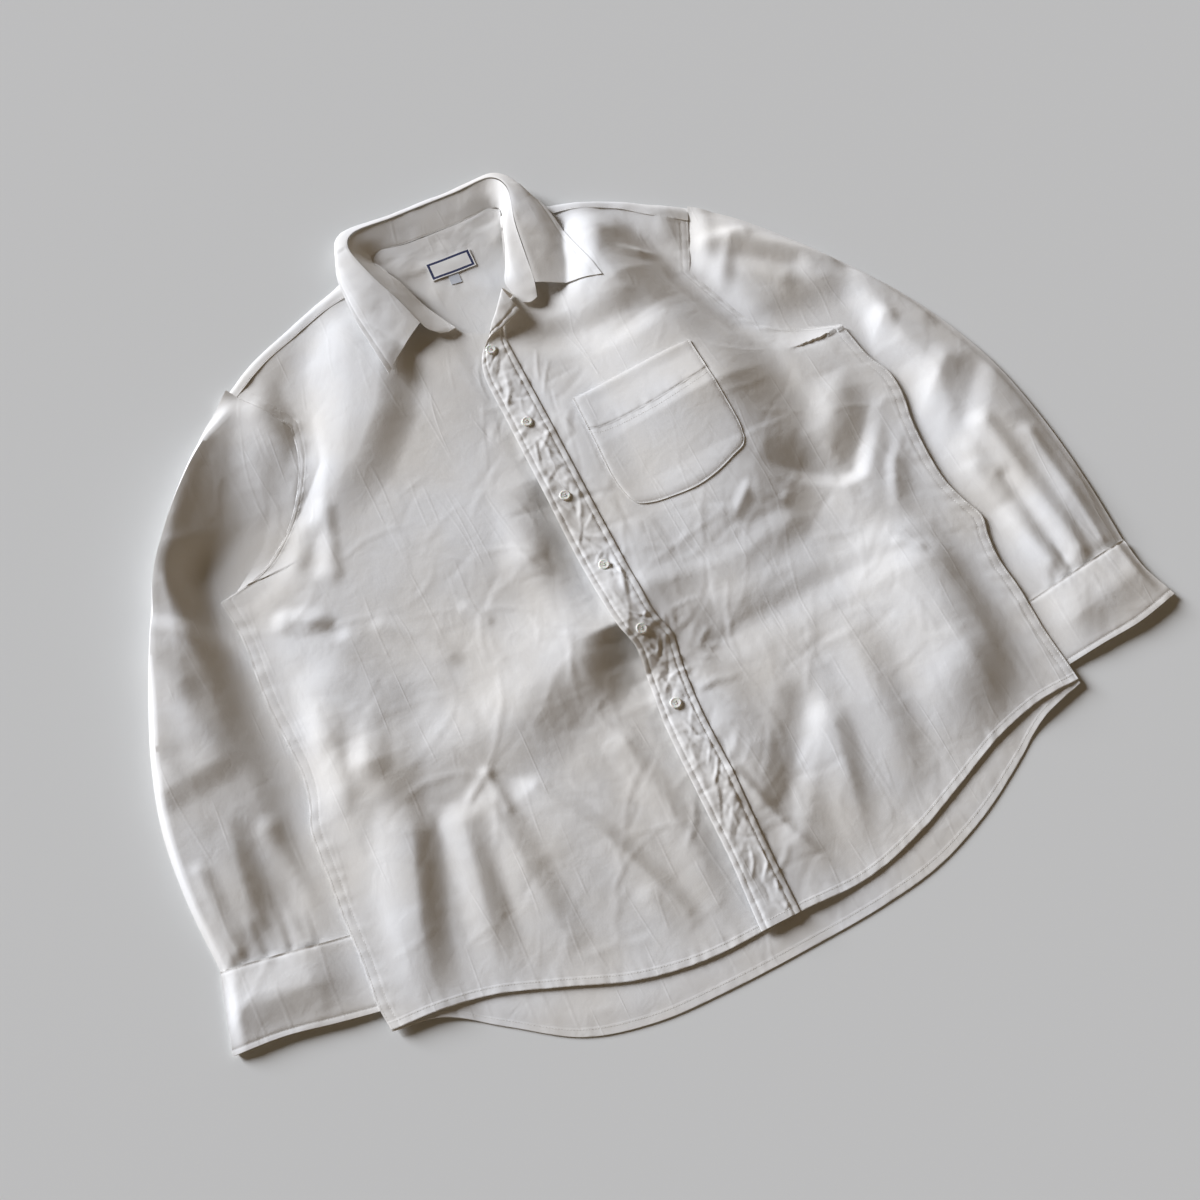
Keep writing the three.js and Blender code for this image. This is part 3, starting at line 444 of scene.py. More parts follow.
def front_height(x, y):
    """Underside of the fronts: over the back, with their loft, folds and creases."""
    x, y = np.asarray(x, dtype=float), np.asarray(y, dtype=float)
    side = np.where(y < 100, from_side(x, y), 99)
    hem = y - at(HEM, "front", x, key="x")
    right, left = distance(armhole_path("right"), x, y)[0], distance(armhole_path("left"), x, y)[0]
    sewn = np.minimum(right, left)
    # Seams hold the cloth down beside the sleeves, sides and hem, but less so at the right shoulder.
    risen = 0.75 * smooth((y - 130) / 70) * smooth((-150 - x) / 40)
    fade = smooth(side / np.where(x < 0, 40, 62)) * (0.16 + 0.84 * np.maximum(smooth(sewn / 32), risen))
    base_fade, fold_fade = 0.06 + 0.94 * smooth(hem / 150), 0.06 + 0.94 * smooth(hem / 85)
    # The collar and the shoulder seams press the folds flat.
    collar = 0.25 + 0.75 * smooth((np.hypot((x - 12) / 128, (y - 350) / 105) - 0.85) / 0.4)
    shoulder = distance(SHOULDER_LINES[0], x, y)[0], distance(SHOULDER_LINES[1], x, y)[0]
    low = 0.45 + 0.55 * smooth(np.minimum(*shoulder) / 36)
    base_fade = base_fade * (0.35 + 0.65 * smooth(np.minimum(*shoulder) / 60)) * smooth(side / 80)
    loose = (FRONT_LOFT + 2.0 * noise(x, y, 130, 3)) * base_fade
    loose = loose + 1.4 * low * collar * fold_fade * folds(FRONT_FOLDS, x, y)
    loose = above(loose, 0, 4)
    near_edge = 0.35 + 0.65 * smooth(np.minimum(np.minimum(hem, side), sewn) / 25)
    gap = 0.2 + 0.9 * smooth(np.minimum(hem + 12, side) / 14)
    lifted = gap + loose * fade + crinkled(x, y) * near_edge
    return back_height(x, y) + cloth_thickness() + above(lifted, 0.15, 0.5)


# How far the right front sinks beside the placket, as a share of its height, by place along the placket.
SINKS = ([-400, -172, -150, -128, -106, -92, -60, 0, 50, 80],
         [0.1, 0.15, 0.7, 0.85, 0.6, 0.2, 0.5, 0.7, 0.6, 0.1])


def right_height(x, y):
    """The right front sinks towards the placket that lies over it."""
    floor = back_height(x, y) + cloth_thickness() + 0.2
    sunk = np.interp(y, *SINKS) * smooth((x + 66) / 50)
    return floor + (front_height(x, y) - floor) * (1 - sunk) - 0.8 * smooth((x + 34) / 16)


def left_height(x, y):
    """The left front rides over the right one beside the placket."""
    return front_height(x, y) + OVERLAP_LIFT * smooth((80 - x) / 50) * (0.45 + 0.55 * smooth((y + 395) / 70))


# ------------------------------------------------------------------ curves and sheets

def curve(points, where):
    """Places on a soft curve through the given points, at fractional counts along their list."""
    p = np.asarray(points, dtype=float)
    p = np.concatenate([[2 * p[0] - p[1]], p, [2 * p[-1] - p[-2]]])
    where = np.asarray(where, dtype=float)
    i = np.clip(np.floor(where).astype(int), 0, len(p) - 4)
    w = (where - i)[:, None]
    a, b, c, d = (p[i + k] for k in range(4))
    before, here, after = (
        np.sqrt(np.maximum(np.linalg.norm(q - r, axis=1), 1e-6))[:, None] for q, r in ((b, a), (c, b), (d, c))
    )
    start = ((b - a) / before - (c - a) / (before + here) + (c - b) / here) * here
    end = ((c - b) / here - (d - b) / (here + after) + (d - c) / after) * here
    return (b * (2 * w ** 3 - 3 * w ** 2 + 1) + start * (w ** 3 - 2 * w ** 2 + w)
            + c * (3 * w ** 2 - 2 * w ** 3) + end * (w ** 3 - w ** 2))


def path_length(points):
    """Distance along a path at each of its points."""
    steps = np.linalg.norm(np.diff(points, axis=0), axis=1)
    return np.concatenate([[0], np.cumsum(steps)])


def evenly(points, fractions):
    """Places on the same curve at fractions of its length."""
    where = np.linspace(0, len(points) - 1, 30 * len(points))
    length = path_length(curve(points, where))
    return curve(points, np.interp(np.asarray(fractions) * length[-1], length, where))


def straight(points, fractions):
    """Places on the straight runs between points at fractions of their length."""
    points = np.asarray(points, dtype=float)
    length = path_length(points)
    wanted = np.asarray(fractions) * length[-1]
    return np.stack([np.interp(wanted, length, points[:, k]) for k in range(points.shape[1])], axis=1)


def spread(length, step, low=(), high=()):
    """Distances from 0 to a length, about a step apart, with set ones near either end."""
    start, stop = max(low, default=0), length - max(high, default=0)
    middle = np.linspace(start, stop, max(2, round((stop - start) / step) + 1))
    return np.unique(np.concatenate([[0], low, middle, [length - h for h in high], [length]]))


def patch(bottom, top, left, right, u, v):
    """A sheet between four boundary lines; u and v are the shares across and up of its columns and rows."""
    u, v = u[None, :, None], v[:, None, None]
    across = left[:, None] * (1 - u) + right[:, None] * u
    upward = bottom[None] * (1 - v) + top[None] * v
    low = bottom[0] * (1 - u) + bottom[-1] * u
    high = top[0] * (1 - u) + top[-1] * u
    return across + upward - low * (1 - v) - high * v


def normals(grid, ring=False):
    """Unit normals of a sheet, by its neighbouring points."""
    if ring:
        across = np.roll(grid, -1, axis=1) - np.roll(grid, 1, axis=1)
    else:
        across = np.gradient(grid, axis=1)
    n = np.cross(across, np.gradient(grid, axis=0))
    return n / np.maximum(np.linalg.norm(n, axis=2, keepdims=True), 1e-9)


def lift(plan, z):
    """A sheet's plan with its heights."""
    return np.dstack([plan[..., 0], plan[..., 1], z])


# Where a sleeve stands highest, then where it starts to fall to its inner fold and over how much, all as
# shares of the way across it from its outer edge: at the shoulder, above the elbow, and from there down.
CREST = {"right": (0.05, 0.06, 0.07), "left": (0.2, 0.24, 0.3)}
FALL = {"right": ((0.05, 0.08, 0.22), (0.58, 0.58, 0.52)), "left": ((0.2, 0.24, 0.3), (0.68, 0.68, 0.68))}
# Distances from a seam or a hem where a sheet has rows of points, so that its stitch lines stay sharp.
SEAM_MARKS = (1.0, 1.6, 2.2, 7.4, 8.0, 8.6)
HEM_MARKS = (0.6, 1.2, 5.2, 5.8, 6.4, 7.2, 8.0)


def seam_band(away, width):
    """A felled seam or folded hem: a band that stands proud, with its stitches drawn into it."""
    band = 0.3 * (1 - smooth((away - width) / 0.9)) * smooth(away / 0.6)
    sunk = groove(away, width - 0.8, 0.55) + 0.8 * groove(away, 1.6, 0.5)
    return band - 0.2 * sunk


def pucker(along, away, width, pitch, seed):
    """Small waves where stitches draw the cloth up, strongest on the seam and dying out beside it."""
    wave = noise(along, 0.25 * away, pitch, seed) + 0.5 * noise(along, 0.2 * away, pitch * 0.55, seed + 1)
    return wave * np.exp(-np.maximum(0, away - width) / 6) * smooth((away + 0.5) / 2)


# ------------------------------------------------------------------ pieces' surfaces

def side_line(side, edge, v):
    """The body's edge from the hem corner past the underarm to the shoulder, at row numbers v."""
    hole = values(ARMHOLE, side + "X", side + "Y")
    corner = HEM[0 if side == "right" else -1]
    seam = values(SIDE_SEAM, side, "y")[1:]
    lower = np.concatenate([[[corner["x"], corner[edge]]], seam, hole[:1]])
    parts = [
        (v <= UNDERARM, lower, v / UNDERARM),
        ((v > UNDERARM) & (v <= BACK_SEAM), hole[:6], (v - UNDERARM) / (BACK_SEAM - UNDERARM)),
        (v > BACK_SEAM, hole[5:7], (v - BACK_SEAM) / (SHOULDER - BACK_SEAM)),
    ]
    line = np.zeros((len(v), 2))
    for chosen, points, fractions in parts:
        line[chosen] = evenly(points, fractions[chosen])
    return line


def hem_line(edge, start, stop, fractions):
    """The front's or the back's hem between two places across the body."""
    inner = [(row["x"], row[edge]) for row in HEM if start + 12 < row["x"] < stop - 12]
    ends = [(x, float(at(HEM, edge, x, key="x"))) for x in (start, stop)]
    return evenly([ends[0], *inner, ends[1]], fractions)


def droop(plan, v, from_seam):
    """Lets the rows beside an underarm droop, clear of the armhole's curve."""
    near = smooth(1 - np.abs(v - UNDERARM) / 4)[:, None]
    share = np.clip(from_seam, 0, 1) * smooth(1 - (np.maximum(from_seam, 1) - 1) / 6)
    plan[..., 1] -= UNDERARM_DROOP * near * share[None]


@functools.lru_cache
def back_surface():
    """The upper side of the back, crinkled where its tail shows under the fronts."""
    seam = values(YOKE, "backX", "backY") - [0, 0.3]
    columns = spread(16 * 43, 3.4, low=SEAM_MARKS, high=SEAM_MARKS) / 43
    rows = np.unique(np.concatenate([
        spread(110, 2.6, low=HEM_MARKS), np.linspace(110, BACK_SEAM * 36, 64),
    ])) / 36
    bottom = hem_line("back", HEM[0]["x"], HEM[-1]["x"], columns / 16)
    top = curve(seam, columns)
    left, right = side_line("right", "back", rows), side_line("left", "back", rows)
    plan = patch(bottom, top, left, right, columns / 16, rows / BACK_SEAM)
    droop(plan, rows, np.minimum(columns, 16 - columns))
    x, y = plan[..., 0], plan[..., 1]
    from_hem = rows[:, None] * 36 * np.ones_like(x)
    z = back_height(x, y) + cloth_thickness()
    shown = smooth(1 - from_hem / 110)
    z += shown * (0.25 * crinkle(x, y, 21) + 0.7) * smooth(from_hem / 20)
    z += 0.35 * pucker(x, from_hem, 6.4, 7.5, 31) + 0.8 * seam_band(from_hem, 6.4)
    return lift(plan, np.maximum(z, 0.25 + cloth_thickness()))


def front_details(x, y, from_hem, from_seam, seed):
    """Hem, side seam and armhole seam of a front: bands, sunk stitches and puckers."""
    z = seam_band(from_hem, 6.4) + 0.55 * pucker(x, from_hem, 6.4, 7.5, seed)
    return z + seam_band(from_seam, 8.8) + 0.6 * pucker(y + 0.3 * x, from_seam, 8.8, 11, seed + 5)


@functools.lru_cache
def right_front_surface():
    """The upper side of the right front, from its side seam to its edge under the placket."""
    top_points = np.concatenate([values(YOKE[:6], "endX", "endY") - [0, 0.4], RIGHT_NECKLINE])
    count = len(top_points) - 1
    columns = spread(count * 36, 2.6, low=SEAM_MARKS, high=(1.2, 6.0)) / 36
    rows = spread(SHOULDER * 33, 2.6, low=HEM_MARKS, high=(1.2, 5.0)) / 33
    bottom = hem_line("front", HEM[0]["x"], 13, columns / count)
    top = curve(top_points, columns)
    edge = straight([bottom[-1], top[-1]], rows / SHOULDER)
    plan = patch(bottom, top, side_line("right", "front", rows), edge, columns / count, rows / SHOULDER)
    droop(plan, rows, columns)
    x, y = plan[..., 0], plan[..., 1]
    from_hem = rows[:, None] * 33 * np.ones_like(x)
    from_seam = columns[None] * 36 * np.ones_like(x)
    z = right_height(x, y) + cloth_thickness() + front_details(x, y, from_hem, from_seam, 41)
    return lift(plan, z)


@functools.lru_cache
def left_front_surface():
    """The upper side of the left front, from the edge that carries the placket to its side seam."""
    top_points = np.concatenate([LEFT_NECKLINE[::-1], values(YOKE[-6:], "endX", "endY") - [0, 0.4]])
    count = len(top_points) - 1
    columns = spread(count * 37, 2.6, low=(1.2, 6.0), high=SEAM_MARKS) / 37
    rows = spread(SHOULDER * 33, 2.6, low=HEM_MARKS, high=(1.2, 5.0)) / 33
    start, width = PLACKET[0]["left"], PLACKET[0]["right"] - PLACKET[0]["left"]
    rest = hem_line("front", PLACKET[0]["right"], HEM[-1]["x"], np.clip((columns - 1) / (count - 1), 0, 1))
    first = np.clip(columns, 0, 1)[:, None]
    bottom = np.where(columns[:, None] < 1, [start, FOOT] + first * [width, 0], rest)
    top = curve(top_points, columns)
    edge = straight([bottom[0], (PLACKET[-1]["left"], PLACKET_TOP), top[0]], rows / SHOULDER)
    plan = patch(bottom, top, edge, side_line("left", "front", rows), columns / count, rows / SHOULDER)
    droop(plan, rows, count - columns)
    sway = (at(PLACKET, "left", edge[:, 1]) - edge[:, 0]) * smooth((PLACKET_TOP - edge[:, 1]) / 20)
    plan[..., 0] += sway[:, None] * smooth(1 - columns / 3)[None]
    x, y = plan[..., 0], plan[..., 1]
    from_hem = rows[:, None] * 33 * np.ones_like(x)
    from_seam = (count - columns)[None] * 37 * np.ones_like(x)
    z = left_height(x, y) + cloth_thickness() + front_details(x, y, from_hem, from_seam, 51)
    return lift(plan, z)


@functools.lru_cache
def placket_surface():
    """The placket from the hem up, crumpled between its stitch lines, its top turned out."""
    flat = [[r["left"], r["y"], 0, (r["left"] + r["right"]) / 2, r["y"], 0, r["right"], r["y"], 0]
            for r in PLACKET]
    control = np.concatenate([flat, values(TURN, *TURN[0])]).reshape(-1, 3, 3)
    lengths = path_length(control[:, 1])
    wanted = spread(lengths[-1], 1.5, low=HEM_MARKS)
    rows = np.interp(wanted, lengths, np.arange(len(control)))
    rails = np.stack([curve(control[:, k], rows) for k in range(3)], axis=1)
    across = spread(PLACKET_WIDTH, 1.3, low=(0.8, 4.6, 5.2, 5.8), high=(0.8, 4.6, 5.2, 5.8))
    grid = np.stack([evenly(rail, across / PLACKET_WIDTH) for rail in rails])
    x, y, turn = grid[..., 0], grid[..., 1], grid[..., 2]
    side = np.minimum(across, PLACKET_WIDTH - across)[None] * np.ones_like(x)
    along = wanted[:, None] * np.ones_like(x)
    z = left_height(x, y) + 2 * cloth_thickness() + 0.5 + turn + 0.9 * smooth(turn)
    z += 0.4 * smooth(side / 0.8) - 0.4 * groove(side, 5.2, 0.7)
    z += 0.9 * pucker(along, side, 4.0, 9, 61) * smooth(side / 3)
    crumpled = folds(placket_creases(), x, y, taper=0.7) + 0.6 * crinkle(1.5 * x, y, 62)
    z += (crumpled + 0.5) * (0.15 * smooth(side / 2) + 0.85 * smooth((side - 4.5) / 4))
    return lift(grid, z)


@functools.lru_cache
def pocket_surface():
    """The patch pocket: a deep stitched hem at its top and a shallow rounded point at its foot."""
    o = POCKET
    middle = (o["left"] + o["right"]) / 2
    marks = (0.6, 1.6, 2.4)
    u = spread(POCKET_WIDTH, 2.2, low=marks, high=marks) / POCKET_WIDTH
    hem_rows = POCKET_DEPTH - o["hem"] + np.array([-0.8, 0, 0.5, 1.2])
    v = np.concatenate([spread(POCKET_DEPTH, 2.2, low=marks, high=(0.8,)), hem_rows])
    v = np.unique(v) / POCKET_DEPTH
    low = evenly([(52, 19), (58, 9.5), (72, 4), (90, 1), (middle, -1),
                  (140, 3), (162, 11), (176, 17), (180.5, 24)], u)
    top = evenly([(o["left"], o["top"]), (middle, o["top"] + 2), (o["right"], o["top"] + 3)], u)
    left = evenly([low[0], (48, 40), (49, 90), top[0]], v)
    right = evenly([low[-1], (183, 40), (182, 90), top[-1]], v)
    plan = patch(low, top, left, right, u, v)
    x, y = plan[..., 0], plan[..., 1]
    side = (np.minimum(u, 1 - u) * POCKET_WIDTH)[None] * np.ones_like(x)
    base = v[:, None] * POCKET_DEPTH * np.ones_like(x)
    down = (1 - v)[:, None] * POCKET_DEPTH * np.ones_like(x)
    rim = np.minimum(side, base)
    z = left_height(x, y) + 2 * cloth_thickness() + 0.35
    z += 0.55 * smooth(rim / 9) * smooth(down / 2) + 0.9 * smooth(1 - down / 16) * smooth(side / 24)
    z -= 0.3 * groove(rim, 1.6, 0.8)
    z += 0.55 * (1 - smooth((down - o["hem"]) / 0.9)) - 0.4 * groove(down, o["hem"] - 0.4, 0.8)
    z += 0.55 * pucker(x, np.abs(down - o["hem"]), 1, 7, 71) + 0.3 * pucker(x + y, rim, 2, 9, 73)
    return lift(plan, z)


@functools.lru_cache
def sleeve_surface(side):
    """The top of a sleeve, from the armhole to the cuff, row by row across."""
    rows = RIGHT_SLEEVE if side == "right" else LEFT_SLEEVE
    w = np.linspace(0, 1, SLEEVE_COLUMNS)
    hole = values(ARMHOLE, side + "X", side + "Y")[::-1]
    first = straight(hole, w)
    along = np.gradient(first, axis=0)
    along /= np.linalg.norm(along, axis=1, keepdims=True)
    inside = np.stack([-along[:, 1], along[:, 0]], axis=1) * (1 if side == "right" else -1)
    first += 5 * inside * smooth(np.linspace(0, 6, SLEEVE_COLUMNS))[:, None]
    control = np.stack([first] + [evenly(line, w) for line in values(rows, *STATION[:8]).reshape(-1, 4, 2)])
    crowns = np.concatenate([[5], values(rows, "crown")[:, 0]])
    stations = np.concatenate([spread(1.0, 0.055), 1 + spread(8.0, 0.047)[1:]])
    plan = np.stack([curve(control[:, j], stations) for j in range(len(w))], axis=1)
    crown = np.interp(stations, np.arange(len(crowns)), crowns)[:, None]
    x, y = plan[..., 0], plan[..., 1]
    seam = at(SIDE_SEAM, side, y)
    out = seam - x if side == "right" else x - seam
    clear = smooth((out - 4) / 40) * (1 - smooth((y - 124) / 44)) + smooth((y - 124) / 44)
    crest = np.interp(stations, [0, 2, 4], CREST[side])[:, None]
    start, reach = (np.interp(stations, [0, 2, 4], shares)[:, None] for shares in FALL[side])
    fall = np.clip((w[None] - start) / reach, 0, 1)
    rise = 1 - (1 - np.minimum(w[None] / crest, 1)) ** 2
    profile = np.where(w[None] < crest, rise, 1 - 0.5 * fall - 0.45 * smooth(fall))
    billow = crown * profile + folds(SLEEVE_FOLDS, x, y) + 1.8 * noise(x, y, 90, 81)
    billow = above(billow, 0, 4) * smooth(np.minimum(w / 0.05, (1 - w) / 0.12))[None]
    to_cuff = (stations[-1] - stations)[:, None] * 68
    gathers = 1.5 * noise(x, 0.16 * y, 11, 83) + 0.8 * noise(x, 0.2 * y, 6, 84)
    fine = 0.3 * crinkle(x, y, 85) + gathers * np.exp(-to_cuff / 34) * smooth(to_cuff / 3)
    z = SLEEVE_FLAT + (billow + fine * smooth(np.minimum(w, 1 - w) / 0.06)[None]) * clear
    under = smooth(1 - stations / 0.16)[:, None] * smooth(w / 0.1)[None]
    joined = front_height(x, y) + cloth_thickness() - 0.2 - (cloth_thickness() + 0.4) * under
    from_hole = distance(armhole_path(side), x, y)[0]
    near = smooth(1 - stations)[:, None] * smooth(1 - from_hole / 34)
    z = np.where(near > 0, z * (1 - near) + np.maximum(joined, SLEEVE_FLAT) * near, z)
    z += 0.5 * pucker(0.7 * x + 0.7 * y, from_hole, 1, 10, 86) * clear
    return lift(plan, np.maximum(z, SLEEVE_FLAT - 0.2))


@functools.lru_cache
def cuff_surface(side):
    """The top of a cuff: a stiffer band, stitched along both ends, that lies down towards its opening."""
    rows = RIGHT_CUFF if side == "right" else LEFT_CUFF
    along = spread(CUFF_LENGTH, 2.2, low=(0.8, 1.6, 2.4), high=(0.6, 4.4, 5.0, 5.6))
    w = spread(CUFF_WIDTH, 2.4, low=(0.8, 2.0), high=(0.8, 2.0)) / CUFF_WIDTH
    lines = np.stack([evenly(line, w) for line in values(rows, *STATION[:8]).reshape(-1, 4, 2)])
    where = along / CUFF_LENGTH * 2
    plan = np.stack([curve(lines[:, j], where) for j in range(len(w))], axis=1)
    crown = np.interp(where, [0, 1, 2], values(rows, "crown")[:, 0])[:, None]
    x, y = plan[..., 0], plan[..., 1]
    top = along[:, None] * np.ones_like(x)
    low = CUFF_LENGTH - top
    seam = at(SIDE_SEAM, side, y)
    out = seam - x if side == "right" else x - seam
    clear = smooth((out - 6) / 40)
    rim = smooth(np.minimum(w, 1 - w) / 0.1)[None]
    lying = 0.2 + 0.8 * smooth(low / 45)
    shape = crown * rim * lying + 1.5 * noise(x, y, 55, 91) * rim + 0.6 * crinkle(x, y, 92)
    z = SLEEVE_FLAT + 0.9 + shape * clear
    z += 0.6 - 0.45 * groove(top, 1.6, 0.8) - 0.4 * groove(low, 5.0, 0.8)
    z += 0.8 * pucker(x, top, 1, 9, 93) * clear
    return lift(plan, np.maximum(z, SLEEVE_FLAT))


@functools.lru_cache
def yoke_surface():
    """The yoke's outer side: flat under the back of the neck, then rolled over the shoulders."""
    sections = []
    share = np.concatenate([np.linspace(0, 0.6, 12), np.linspace(0.63, 1, 26)])
    for n, row in enumerate(YOKE):
        back = np.array([row["backX"], row["backY"], 0.15])
        fold = np.array([row["foldX"], row["foldY"], 0.15])
        half, near = (back + fold) / 2, back * 0.1 + fold * 0.9
        if n in NECK_SECTIONS:
            near[2] = 5 * smooth((near[1] - 345) / 51)
            end = np.array([row["endX"], row["endY"], 5.0])
            line = [back, half, near, end]
        else:
            end_height = float(front_height(np.array([row["endX"]]), np.array([row["endY"]]))[0]) + 1.0
            end = np.array([row["endX"], row["endY"], end_height])
            over = 0.65 * fold + 0.35 * end
            over[2] = 0.3 + 0.8 * end_height
            fold[2] = 0.3 * over[2]
            line = [back, half, near, fold, over, end]
        sections.append(evenly(line, share))
    lengths = path_length(np.array([line[0] for line in sections]))
    wanted = spread(lengths[-1], 3.0, low=(1.5, 8), high=(1.5, 8))
    where = np.interp(wanted, lengths, np.arange(len(sections)))
    sections = np.array(sections)
    grid = np.stack([curve(sections[:, j], where) for j in range(len(share))], axis=1)
    grid[..., 2] = np.maximum(grid[..., 2], 0.15)
    top = smooth((share - 0.6) / 0.1)[None]
    inside = smooth(1 - np.abs(where - 8) / 3)[:, None] * 0.9
    x, y = grid[..., 0], grid[..., 1]
    grid[..., 2] += 0.7 * (crinkle(x, y, 101) + 0.3) * top
    grid[..., 2] += inside * (0.5 + crinkle(x, y, 102)) * smooth(share / 0.3)[None]
    return grid


@functools.lru_cache
def stand_surface():
    """The stiff band round the neck, from its sewn edge up."""
    control = values(STAND, *ROLL).reshape(-1, 3, 3)
    lengths = path_length(control[:, 1])
    where = np.interp(spread(lengths[-1], 2.4), lengths, np.arange(len(control)))
    rails = np.stack([curve(control[:, k], where) for k in range(3)], axis=1)
    grid = np.stack([evenly(rail, np.linspace(0, 1, 15)) for rail in rails])
    wave = noise(where[:, None] * 30, np.linspace(0, 30, 15)[None], 16, 111)
    return grid + 0.35 * wave[..., None] * normals(grid)


@functools.lru_cache
def collar_surface():
    """The fall: rolled over the top of the stand, then down to its outer edge."""
    control = values(COLLAR, *ROLL).reshape(-1, 3, 3)
    stand_top = stand_surface()[:, -1]
    for row in control:
        beside = stand_top[np.argmin(np.linalg.norm(stand_top - row[0], axis=1))]
        row[0] = beside + 0.35 * (row[0] - beside)
    roll = control[:, 0] * 0.86 + control[:, 1] * 0.14 + [0, 0, 0.6]
    control = np.stack([control[:, 0], roll, control[:, 1], control[:, 2]], axis=1)
    lengths = path_length(control[:, 2])
    where = np.interp(spread(lengths[-1], 2.4, low=(0.8, 4.4, 5, 5.6), high=(0.8, 4.4, 5, 5.6)),
                      lengths, np.arange(len(control)))
    rails = np.stack([curve(control[:, k], where) for k in range(4)], axis=1)
    across = spread(50, 1.9, high=(0.8, 4.4, 5.0, 5.6)) / 50
    grid = np.stack([evenly(rail, across) for rail in rails])
    x, y = grid[..., 0], grid[..., 1]
    floor = left_height(x, y) + cloth_thickness() + 0.9
    grid[..., 2] = np.where(y < 366, np.maximum(grid[..., 2], floor), grid[..., 2])
    edge = (1 - across)[None] * 50 * np.ones_like(x)
    bumps = 0.8 * noise(x, y, 34, 121) + 0.3 * noise(x, y, 15, 122) - 0.3 * groove(edge, 5, 0.8)
    outward = normals(grid)
    turned = np.where((y > 405) | (outward[..., 2] >= 0), 1.0, -1.0)
    bumps = bumps * smooth(across / 0.2)[None] * turned
    return grid + bumps[..., None] * outward


# ------------------------------------------------------------------ meshes

def to_frame(points):
    """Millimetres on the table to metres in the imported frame."""
    return (np.asarray(points, dtype=float).reshape(-1, 3) - CENTRE) / 1000


def add_object(name, data):
    """A new object at the origin, linked into the scene."""
    made = bpy.data.objects.new(name, data)
    bpy.context.scene.collection.objects.link(made)
    return made


def new_piece(name, points, faces, material, uv=None):
    """A mesh object in the frame, with its faces turned outwards and its cloth coordinates in metres."""
    places = to_frame(points)
    faces = np.asarray(faces)
    corners = places[faces[:, :3]]
    volume = np.einsum("ij,ij->i", corners[:, 0], np.cross(corners[:, 1], corners[:, 2])).sum()
    if faces.shape[1] == 4:
        other = places[faces[:, [0, 2, 3]]]
        volume += np.einsum("ij,ij->i", other[:, 0], np.cross(other[:, 1], other[:, 2])).sum()
    if volume < 0:
        faces = faces[:, ::-1]
    mesh = bpy.data.meshes.new(name)
    mesh.vertices.add(len(places))
    mesh.vertices.foreach_set("co", places.ravel())
    mesh.loops.add(faces.size)
    mesh.loops.foreach_set("vertex_index", faces.ravel().astype(np.int32))
    mesh.polygons.add(len(faces))
    mesh.polygons.foreach_set("loop_start", np.arange(0, faces.size, faces.shape[1], dtype=np.int32))
    mesh.update(calc_edges=True)
    if uv is not None:
        layer = mesh.uv_layers.new(name="cloth")
        layer.data.foreach_set("uv", (uv[faces.ravel()] / 1000).ravel())
    mesh.shade_smooth()
    mesh.set_sharp_from_angle(angle=math.radians(50))
    mesh.materials.append(material)
    return add_object(name, mesh)


def cloth_coordinates(grid):
    """Distance across and along a sheet at each of its points, as the cloth lies."""
    across = np.linalg.norm(np.diff(grid, axis=1), axis=2).mean(axis=0)
    along = np.linalg.norm(np.diff(grid, axis=0), axis=2).mean(axis=1)
    u, v = np.concatenate([[0], np.cumsum(across)]), np.concatenate([[0], np.cumsum(along)])
    return np.stack(np.broadcast_arrays(u[None], v[:, None]), axis=-1).reshape(-1, 2)


def wall(name, outer, inner, material, ring=False):
    """The closed shell between two sheets of the same size."""
    rows, cols = outer.shape[:2]
    index = np.arange(2 * rows * cols).reshape(2, rows, cols)
    if ring:
        index = np.concatenate([index, index[:, :, :1]], axis=2)
    a, b = index

    def quads(p, q, r, s):
        return np.stack([p, q, r, s], axis=-1).reshape(-1, 4)

    faces = [
        quads(a[:-1, :-1], a[:-1, 1:], a[1:, 1:], a[1:, :-1]),
        quads(b[:-1, :-1], b[1:, :-1], b[1:, 1:], b[:-1, 1:]),
        quads(a[0, :-1], b[0, :-1], b[0, 1:], a[0, 1:]),
        quads(a[-1, :-1], a[-1, 1:], b[-1, 1:], b[-1, :-1]),
    ]
    if not ring:
        faces += [
            quads(a[:-1, 0], a[1:, 0], b[1:, 0], b[:-1, 0]),
            quads(a[:-1, -1], b[:-1, -1], b[1:, -1], a[1:, -1]),
        ]
    points = np.concatenate([outer.reshape(-1, 3), inner.reshape(-1, 3)])
    uv = np.tile(cloth_coordinates(outer), (2, 1))
    return new_piece(name, points, np.concatenate(faces), material, uv)


def sheet_piece(name, top, material, thickness=None):
    """A single layer of cloth under its upper side."""
    down = np.array([0, 0, thickness or cloth_thickness()])
    return wall(name, top, top - down, material)


def tube_piece(name, top, material):
    """A flattened tube: its shaped top, and a flat underside that lies on the table."""
    t = cloth_thickness()
    across = top[:, -1:] - top[:, :1]
    across[..., 2] = 0
    unit = across / np.linalg.norm(across, axis=2, keepdims=True)
    under = top[:, ::-3].copy()
    under[..., 2] = 0.2
    under[:, 0] -= 0.5 * unit[:, 0]
    under[:, -1] += 0.5 * unit[:, 0]
    outer = np.concatenate([top, under], axis=1)
    top_in, under_in = top - [0, 0, t], under + [0, 0, t]
    for line in (top_in, under_in):
        first, last = (0, -1) if line is top_in else (-1, 0)
        line[:, first] += 1.2 * t * unit[:, 0]
        line[:, last] -= 1.2 * t * unit[:, 0]
    top_in[:, [0, -1], 2] -= 0.3
    return wall(name, outer, np.concatenate([top_in, under_in], axis=1), material, ring=True)


def rides(piece, node):
    """Fixes a finished piece to the shirt's one body, in place of its solid."""
    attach(piece, "root")
    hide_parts(node)


# ------------------------------------------------------------------ materials

